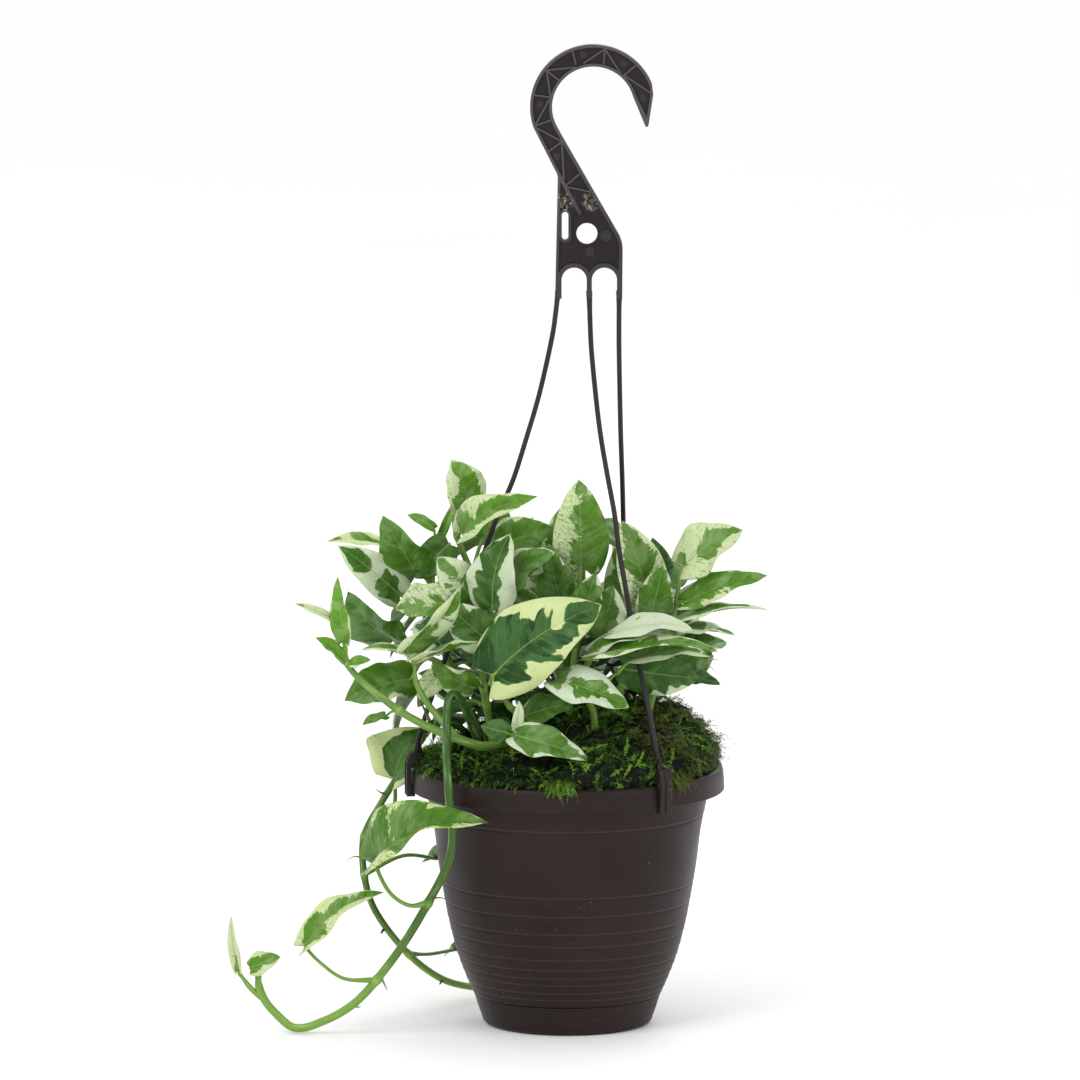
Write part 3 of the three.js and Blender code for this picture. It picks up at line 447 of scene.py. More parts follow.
# The web is set in from both faces. Its pocket keeps a wall round the edge and over each arch.
RAISED_ARCH = arch_radius + 2.4
pocket = np.concatenate([
    [(41.3, 479.8), (43.1, 491.4)], arc(HOOK_CENTRE, HOOK_OUTER - EDGE_WALL, 20, 198, 60),
    [(-3.6, 449.5), (-4.6, 400)],
    arc(crowns[0], RAISED_ARCH, 152, 29, 24), arc(crowns[1], RAISED_ARCH, 151, 36, 24),
    [(27, 410.6), (26.7, 413), (25.7, 416), (-5, 470.2)],
    arc(HOOK_CENTRE, HOOK_INNER + EDGE_WALL, 210, 18, 56)])
RIBS = [
    ((19.5, 515.6), (8.3, 508)), ((19.5, 515.6), (18.7, 507.4)), ((19.5, 515.6), (27.8, 502.6)),
    ((2.6, 514.4), (4.4, 507)), ((-11, 504.4), (4, 506)), ((-11, 504.4), (-4.4, 499)),
    ((-11, 504.4), (-8.8, 489.8)), ((-17.6, 491.4), (-8.4, 490)), ((-9.4, 489.4), (-17.2, 474.8)),
    ((-17.2, 475), (-8, 478.4)), ((-17.2, 474.6), (-3.2, 467)), ((-11, 460.8), (-3, 466.8)),
    ((-3, 467), (-1.9, 447)), ((29.2, 501.6), (36.6, 507.6)), ((29.6, 501.6), (43.4, 492.4)),
    ((-1, 443.6), (7, 450.4)), ((0.2, 442.8), (12.4, 440.3)),
]
RIB_THICK = 1
DIAGONAL = ((-4.6, 449.6), (6.8, 428.4))
PIN_MARKS = [(8, 512.6, 2), (29.4, 507.8, 2), (-14.3, 486.2, 2), (39.4, 489.6, 1.9),
             (-5.6, 458.8, 2), (20.1, 417.1, 3.1), (11.6, 408.5, 2.5)]


def bar(start, end, wide, thick):
    """A thin upright rib between two points of the web."""
    start, end = np.array(start), np.array(end)
    ahead = unit(end - start)
    side = np.array([ahead[1], -ahead[0]]) * wide / 2
    return slab([start - side, start + side, end + side, end - side], (), thick, 0.25)


WEB_THICK = 1.4
hanger = build_mesh("hanger_finished", *slab(blank, [pocket], PLATE_THICK, 0.4))
moulded = [
    build_mesh("web", *slab(blank, [slot_hole, round_hole], WEB_THICK, 0.1)),
    build_mesh("slot_rim", *slab(slot_outline(3.2), [slot_hole], PLATE_THICK, 0.3)),
]
for start, end in RIBS:
    moulded.append(build_mesh("rib", *bar(start, end, RIB_THICK, PLATE_THICK - 0.5)))
moulded.append(build_mesh("rib", *bar(*DIAGONAL, 2, PLATE_THICK - 0.2)))
for x, z, radius in PIN_MARKS:
    for ring, thick in ((radius, WEB_THICK + 0.5), (radius * 0.55, WEB_THICK + 1)):
        disc = slab(arc((x, z), ring, 0, 345, 24), (), thick, 0.2)
        moulded.append(build_mesh("mark", *disc))

STRANDS = {
    "left": [
        (-4.9, 0, 388), (-6.2, -0.2, 376.5), (-8.2, -0.4, 363), (-14.4, -1.2, 335),
        (-21.2, -2.2, 311.5), (-28.5, -3.2, 288.5), (-36, -4.2, 271.5), (-42, -5, 254.8),
        (-60, -7.5, 206), (-75.5, -9.6, 161), (-79.9, -10.2, 142.6),
    ],
    "front": [
        (11.3, 0, 388), (11.8, -1, 371), (12.6, -2.4, 355.5), (15.2, -6.8, 329.3),
        (17.5, -10.6, 311.7), (20.7, -16, 293.5), (24.5, -22.4, 273.5), (27, -26.6, 254.2),
        (30.5, -32.5, 235.1), (37, -43.5, 199), (42, -52, 176.2), (45.6, -59, 157),
        (48.7, -63.9, 142.6),
    ],
    "back": [
        (27, 0, 388), (26.9, 3, 363), (27.2, 9, 342.2), (27.9, 16, 310.4), (28.8, 24, 284.2),
        (29.6, 36, 252), (30.4, 56, 198), (31, 74, 142.6),
    ],
}
STRAND_RADIUS = 1.35
for points in STRANDS.values():
    path = through(points, 8)
    share = np.linspace(0, 1, len(path))
    swell = 0.35 * np.exp(-(share / 0.03) ** 2) + 0.5 * np.exp(-((1 - share) / 0.02) ** 2)
    moulded.append(build_mesh("strand", *tube(path, STRAND_RADIUS + swell, 14)))

CLIP_AZIMUTHS = {"left": -172.7, "front": -52.7, "back": 67.3}
CLIP_WIDTH = 7.5
# The clip's section in radius and height: a block over the rim, an arm down the band's outside
# and a toe under it. A rib runs down the middle of the arm, and a gusset stands on the block.
CLIP = [
    (75.6, 137.3), (82.8, 137.3), (82.8, 124.2), (80.9, 124.2), (80.9, 122.1), (85.2, 122.1),
    (85.6, 139), (83.6, 145.4), (77.4, 145.4)]
CLIP_RIB = [(84.4, 122.5), (86, 123.2), (86.2, 139.3), (84.2, 144.6), (82.4, 143)]
GUSSET = [(75.2, 138.5), (79.8, 138.5), (79.8, 150.5), (78, 152.5)]
for azimuth in CLIP_AZIMUTHS.values():
    turn = math.radians(azimuth)
    sections = ((CLIP, CLIP_WIDTH, 0.45), (CLIP_RIB, 1.5, 0.3), (GUSSET, 1.8, 0.3))
    for section, wide, edge in sections:
        points, faces = slab(section, (), wide, edge)
        radius, aside, height = points.T
        points = np.stack([radius * math.cos(turn) - aside * math.sin(turn),
                           radius * math.sin(turn) + aside * math.cos(turn), height], -1)
        moulded.append(build_mesh("clip", points, faces))
cut(hanger, moulded, "UNION")
hanger.data.set_sharp_from_angle(angle=math.radians(32))
place = points_of(hanger)
# Glints are painted as highlights: on the hook's edges most, then the plate's, the pin marks and
# the strands, which get none low down among the leaves.
HOOK_FOOT = 440
STRANDS_SHADED = 155
depth = np.abs(place[:, 1])
edge = np.where(place[:, 2] > HOOK_FOOT, 0.42, 0.2) * (depth > PLATE_THICK / 2 - 0.5)
marks = np.array(PIN_MARKS)
aside = np.hypot(place[:, :1] - marks[:, 0], place[:, 2:] - marks[:, 1])
on_mark = (aside < marks[:, 2] + 0.1).any(1) & (depth > WEB_THICK / 2 + 0.15)
painted_highlight = np.where(place[:, 2] > LEG_BOTTOM, np.maximum(edge, 0.12 * on_mark), 0.07)
set_numbers(hanger, "painted_highlight", painted_highlight * (place[:, 2] > STRANDS_SHADED))
# The third colour, a cool grey, is the painted highlight.
hanger_plastic, shade, shader = plastic(
    "hanger_plastic", colour(22, 16, 16), colour(36, 28, 27), colour(102, 100, 108), 0.34, 0.25)
# Dried potting mix and a little lime cling to the plate in two patches beside its slot.
STAIN_MIDDLE = (6 * MM, -2 * MM, 435.3 * MM)
STAIN_APART = (6.6 * MM, 0, 0)
tree = hanger_plastic.node_tree
place = node(tree, "TexCoord").outputs["Object"]
apart = node(tree, "VectorMath", {0: place, 1: STAIN_MIDDLE}, operation="SUBTRACT")
apart = node(tree, "VectorMath", {0: apart.outputs[0]}, operation="ABSOLUTE")
apart = node(tree, "VectorMath", {0: apart.outputs[0], 1: STAIN_APART}, operation="SUBTRACT")
apart = node(tree, "VectorMath", {0: apart.outputs[0]}, operation="LENGTH").outputs["Value"]
near = stepped(tree, apart, 6.5 * MM, 3 * MM)
flakes = stepped(tree, noise(tree, place, 520, 4, 0.65), 0.5, 0.6, 0, 0.8)
stain = mixed(tree, stepped(tree, noise(tree, place, 700, 2), 0.4, 0.65),
              colour(78, 62, 48), colour(178, 172, 150))
shade = mixed(tree, times(tree, near, flakes), shade, stain)
feed(tree, shader, {"Base Color": shade, "Specular IOR Level": 0.24})
finish(hanger, hanger_plastic, "hanger_plastic", "hanger")

# The potting mix
# A peat mix that fills the pot up to its rim. It is dark, loose and crumbly.


def crumbly(name, dark, light):
    """Peat: dark crumbs with paler fibres, matt all over."""
    made, tree, shader, place = bare_material(name)
    crumbs = noise(tree, place, 350, 6, 0.7)
    shade = mixed(tree, stepped(tree, crumbs, 0.35, 0.7), dark, light)
    feed(tree, shader, {"Base Color": shade, "Roughness": 0.95,
                        "Normal": bump(tree, crumbs, 0.6, 0.002)})
    return made


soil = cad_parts["soil"]
soil.data.materials.clear()
soil.data.materials.append(crumbly("potting_mix", colour(24, 16, 11), colour(62, 44, 30)))

# The moss
# Sheet moss laid over the potting mix in a lumpy mound. A mat of old shoots, painted near black
# as the shade deep in the moss, lies under thousands of feathery fronds, each a curled stalk with
# small leaves on both sides.
MOSS_RADIUS = 79


def smooth_step(value, low, high):
    share = np.clip((value - low) / (high - low), 0, 1)
    return share * share * (3 - 2 * share)


def moss_top(x, y):
    """The moss's height: a low roll round the edge and a mound inside it, higher on the right,
    with lumps made of crossing waves."""
    rise = np.maximum(0, 1 - (x * x + y * y) / MOSS_RADIUS ** 2) ** 0.7
    side = smooth_step(x, -45, 25)
    lumps = 1.6 * np.sin(x / 7 + 1) * np.cos(y / 6) + 1.2 * np.sin(x / 4 - y / 5)
    roll = 5.5 + 5 * side
    return POT_HEIGHT + roll + (7 + 17 * side) * rise + lumps * (rise + 0.3)


def moss_bed(x, y):
    """The top that the fronds stand on: the moss's height, roughened into tufts and hollows, and
    heaped up on the right and at the back."""
    tufts = np.sin(x * 0.31 + 1.3 * np.sin(y * 0.23)) * np.sin(y * 0.29 + 1.7 * np.sin(x * 0.19))
    heap = 7 * np.exp(-((x - 57) / 17) ** 2 - ((y - 6) / 30) ** 2)
    heap = heap + 8 * np.exp(-((x + 34) / 24) ** 2 - ((y - 40) / 24) ** 2)
    edge = smooth_step(-np.hypot(x, y), -MOSS_RADIUS, -60)
    return moss_top(x, y) + (2.4 * tufts + heap) * edge - 2.4


def mat_rings():
    """The mat: rings from the foot of its edge up and over to the middle, roughened by waves."""
    turn = np.linspace(0, 2 * np.pi, 180, endpoint=False)[None, :]
    radius = np.concatenate([[MOSS_RADIUS - 1, MOSS_RADIUS], np.linspace(MOSS_RADIUS, 1.5, 60)])
    x, y = polar(radius[:, None], turn)
    rough = np.sin(x * 1.3 + 2 * np.sin(y * 0.7)) * np.sin(y * 1.1 + 2 * np.sin(x * 0.9))
    rough = rough + 0.6 * np.sin(x * 2.9 + y) * np.sin(y * 3.1 - x)
    height = moss_bed(x, y) + 0.8 * rough
    height[0], height[1] = POT_HEIGHT + 0.3, POT_HEIGHT + 1.2
    return np.stack([x, y, height], -1)


middle_top = (0, 0, float(moss_bed(0, 0)))
mat = build_mesh("moss_mat", *ring_skin(mat_rings(), (0, 0, POT_HEIGHT + 0.3), middle_top))


def mossy(name):
    """Moss green that goes from near black in the depths, which is painted shade, to yellow-green
    at the tips, with dry olive patches on the right."""
    made, tree, shader, place = bare_material(name)
    cloudy = noise(tree, place, 40, 3)
    tone_and_shade = plus(tree, carried(tree, "tone_and_shade"), times(tree, cloudy, 0.6))
    shade = mixed(tree, stepped(tree, tone_and_shade, 0.25, 1.1), colour(7, 10, 3), colour(44, 74, 20))
    shade = mixed(tree, stepped(tree, tone_and_shade, 1, 1.7), shade, colour(120, 166, 56))
    right = stepped(tree, node(tree, "SeparateXYZ", {0: place}).outputs[0], 0.025, 0.045)
    dry = times(tree, stepped(tree, noise(tree, place, 34, 2), 0.4, 0.56), right)
    dry = times(tree, dry, stepped(tree, tone_and_shade, 0.3, 1, 0, 0.85))
    shade = mixed(tree, dry, shade, colour(84, 86, 40))
    feed(tree, shader, {"Base Color": shade, "Roughness": 0.7, "Specular IOR Level": 0.15})
    return made


moss_look = mossy("moss")
# The mat's low tone paints it near black, as shade under the fronds.
set_numbers(mat, "tone_and_shade", np.full(len(mat.data.vertices), -0.2))
finish(mat, moss_look, "moss", "moss")

# A frond's stalk: its steps, half its thickness and the share of that which it loses on the way.
FROND_STEPS = 5
FROND_THICK = 0.2
FROND_TAPER = 0.8
# Its leaflets: how many pairs, how long against the frond, and the longest.
FROND_LEAVES = 10
LEAFLET_SHARE = 0.28
LEAFLET_LONGEST = 2


def fronds(name, base, way, out, length, rise, curl, bend, tone_and_shade):
    """Feathery fronds, one for each row of the arrays. A frond leaves its base along its way,
    turned up by its rise towards out, curls by a steady angle and bends aside. Kite-shaped
    leaflets stand on both sides of its axis, longest before the middle and pale at their tips; the
    lower tone towards the base is painted shade."""
    side = np.cross(way, out)
    uneven = np.random.default_rng(len(base))
    points, quads, tones = [], [], []

    def axis(share):
        """The point and the direction at a share of the way along, for every frond."""
        angle = rise + curl * share
        run = (np.sin(angle) - np.sin(rise)) / curl
        lift = (np.cos(rise) - np.cos(angle)) / curl
        point = base + length * (run * way + lift * out + bend * share ** 2 * side)
        return point, unit(np.cos(angle) * way + np.sin(angle) * out + 2 * bend * share * side)

    def add(corners, shades):
        quads.append(len(points) + np.arange(len(corners)))
        points.extend(corners)
        tones.extend(tone_and_shade + shade for shade in shades)

    for step in range(FROND_STEPS):
        here, there = step / FROND_STEPS, (step + 1) / FROND_STEPS
        first, last = axis(here)[0], axis(there)[0]
        thin = FROND_THICK * (1 - FROND_TAPER * here)
        thinner = FROND_THICK * (1 - FROND_TAPER * there)
        add([first - thin * side, first + thin * side, last + thinner * side,
             last - thinner * side], [here * 0.4, here * 0.4, there * 0.4, there * 0.4])
    for leaflet in range(FROND_LEAVES):
        share = (leaflet + 0.8) / FROND_LEAVES
        point, ahead = axis(share)
        over = np.cross(side, ahead)
        longest = np.minimum(LEAFLET_SHARE * length, LEAFLET_LONGEST)
        reach = uneven.uniform(0.5, 1.3, length.shape) * longest
        reach = reach * math.sin(math.pi * min(0.96, 0.25 + 0.72 * share))
        for edge in (-1, 1):
            raised = uneven.normal(0, 0.5, reach.shape)
            across = unit(0.8 * ahead + edge * 0.7 * side + raised * over)
            broad = unit(np.cross(across, over)) * 0.11 * reach
            middle = point + 0.45 * reach * across
            add([point, middle + broad, point + reach * across - 0.15 * reach * over,
                 middle - broad], [share * 0.3, share * 0.5, 0.3 + share * 0.5, share * 0.5])
    each = len(points)
    places = np.stack(points, 1).reshape(-1, 3)
    corners = np.array(quads)[None] + np.arange(len(base))[:, None, None] * each
    made = build_mesh(name, places, [corners.reshape(-1, 4)])
    set_numbers(made, "tone_and_shade", np.stack(tones, 1))
    finish(made, moss_look, "moss")


def lain(draw, x, y, sunk, longest, spread, raised):
    """The arrays of fronds that stand on the bed at x and y. Their ways go outwards give or take
    the spread, and their rise goes up to raised."""
    count = len(x)
    height = moss_bed(x, y)
    slope_x = (moss_bed(x + 0.5, y) - height) / 0.5
    slope_y = (moss_bed(x, y + 0.5) - height) / 0.5
    out = unit(np.stack([-slope_x, -slope_y, np.ones(count)], -1))
    heading = np.arctan2(y, x) + (draw.random(count) - 0.5) * spread
    flat = np.stack([*polar(1, heading), np.zeros(count)], -1)
    way = unit(flat - np.sum(flat * out, 1, keepdims=True) * out)
    base = np.stack([x, y, height - sunk], -1)
    length = (longest * (0.5 + 0.5 * draw.random(count)))[:, None]
    rise = (raised * draw.random(count))[:, None]
    curl = (-0.4 - 2.4 * draw.random(count))[:, None]
    bend = (0.7 * (draw.random(count) - 0.5))[:, None]
    return base, way, out, length, rise, curl, bend


def spread_over(draw, count, inset, power):
    """Places drawn over the bed up to the inset from its edge. A power of a half spreads them
    evenly, and a lower one crowds them outwards."""
    radius = (MOSS_RADIUS - inset) * draw.random(count) ** power
    return polar(radius, draw.random(count) * 2 * np.pi)


def carpet(seed, count):
    """Low fronds over the whole bed, painted dark as the shade in the hollows between the tufts."""
    draw = np.random.default_rng(seed)
    x, y = spread_over(draw, count, 1, 0.5)
    tone_and_shade = 0.5 * draw.random(count) ** 2 - 0.15
    return *lain(draw, x, y, sunk=0.6, longest=8, spread=6.3, raised=1.0), tone_and_shade


def tufted(seed, clumps, each):
    """Longer fronds in clumps, one tone to a clump, that stand up out of the carpet."""
    draw = np.random.default_rng(seed)
    x, y = (np.repeat(middle, each) for middle in spread_over(draw, clumps, 2, 0.5))
    x = x + draw.normal(0, 1.9, clumps * each)
    y = y + draw.normal(0, 1.9, clumps * each)
    off = np.maximum(1, np.hypot(x, y) / (MOSS_RADIUS - 1))
    tone_and_shade = np.repeat(draw.random(clumps) ** 1.3, each) * 0.9 + 0.25 * draw.random(clumps * each)
    laid = lain(draw, x / off, y / off, sunk=0.2, longest=13, spread=5.0, raised=1.5)
    return *laid, tone_and_shade


def trailing(seed, count):
    """Long bright shoots that curl over the other fronds."""
    draw = np.random.default_rng(seed)
    x, y = spread_over(draw, count, 3, 0.4)
    *laid, curl, bend = lain(draw, x, y, sunk=0, longest=21, spread=6.3, raised=1.2)
    return *laid, 2 * curl, 2 * bend, 0.9 + 0.7 * draw.random(count)


WISP_INNER = 56


def wisps(seed, count):
    """Long fronds that stand out over the rim on the right, where the moss is thickest."""
    draw = np.random.default_rng(seed)
    turn = np.radians(draw.uniform(-42, 55, count))
    radius = WISP_INNER + (MOSS_RADIUS - 1 - WISP_INNER) * draw.random(count) ** 0.5
    x, y = polar(radius, turn)
    *laid, curl, bend = lain(draw, x, y, sunk=0.3, longest=23, spread=1.8, raised=1.3)
    return *laid, 1.6 * curl, bend, 0.2 + 0.9 * draw.random(count)


def edging(seed, count):
    """Short fronds round the mat's edge, from its top down to the rim."""
    draw = np.random.default_rng(seed)
    turn = draw.random(count) * 2 * np.pi
    x, y = polar(MOSS_RADIUS - 3 * draw.random(count), turn)
    base, *laid = lain(draw, x, y, sunk=0, longest=8, spread=2.6, raised=0.9)
    lowest = POT_HEIGHT + 0.8
    base[:, 2] = lowest + (base[:, 2] - lowest) * draw.random(count)
    return base, *laid, 0.8 * draw.random(count) ** 1.5


def overhang(seed, count, middle, spread):
    """A tuft that spills over the rim round one azimuth, in degrees."""
    draw = np.random.default_rng(seed)
    turn = np.radians(middle + spread * np.clip(draw.normal(0, 0.5, count), -1, 1))
    radius = 76.5 + 3.5 * draw.random(count)
    heading = turn + (draw.random(count) - 0.5) * 1.4
    way = np.stack([*polar(1, heading), np.full(count, -0.1)], -1)
    out = np.tile((0, 0, 1.0), (count, 1))
    height = POT_HEIGHT + 1.2 + 4 * draw.random(count)
    base = np.stack([*polar(radius, turn), height], -1)
    length = (7 + 9 * draw.random(count) ** 2)[:, None]
    rise = (0.5 * draw.random(count))[:, None]
    curl = (-0.9 - 0.9 * draw.random(count))[:, None]
    bend = (0.6 * (draw.random(count) - 0.5))[:, None]
    return base, unit(way), out, length, rise, curl, bend, 0.3 + 0.7 * draw.random(count)


def together(*groups):
    return [np.concatenate(part) for part in zip(*groups)]


fronds("moss_carpet", *carpet(seed=11, count=3800))
fronds("moss_tufts", *together(
    tufted(seed=12, clumps=300, each=10), trailing(seed=17, count=280)))
fronds("moss_edge", *together(
    edging(seed=13, count=1000), overhang(seed=14, count=90, middle=-92.5, spread=5),
    overhang(seed=15, count=70, middle=-47, spread=6), tufted(seed=16, clumps=60, each=8),
    wisps(seed=18, count=260)))

# The leafy stems
# Green jointed stems root in the potting mix and rise through the moss. At each joint a stalk
# clasps the stem and carries a heart-shaped blade, green and white or cream in patches that follow
# its side veins. Each stem is one piece with its leaves.
VIEW_HEIGHT = math.radians(9)
VIEW_TILT = math.tan(VIEW_HEIGHT)
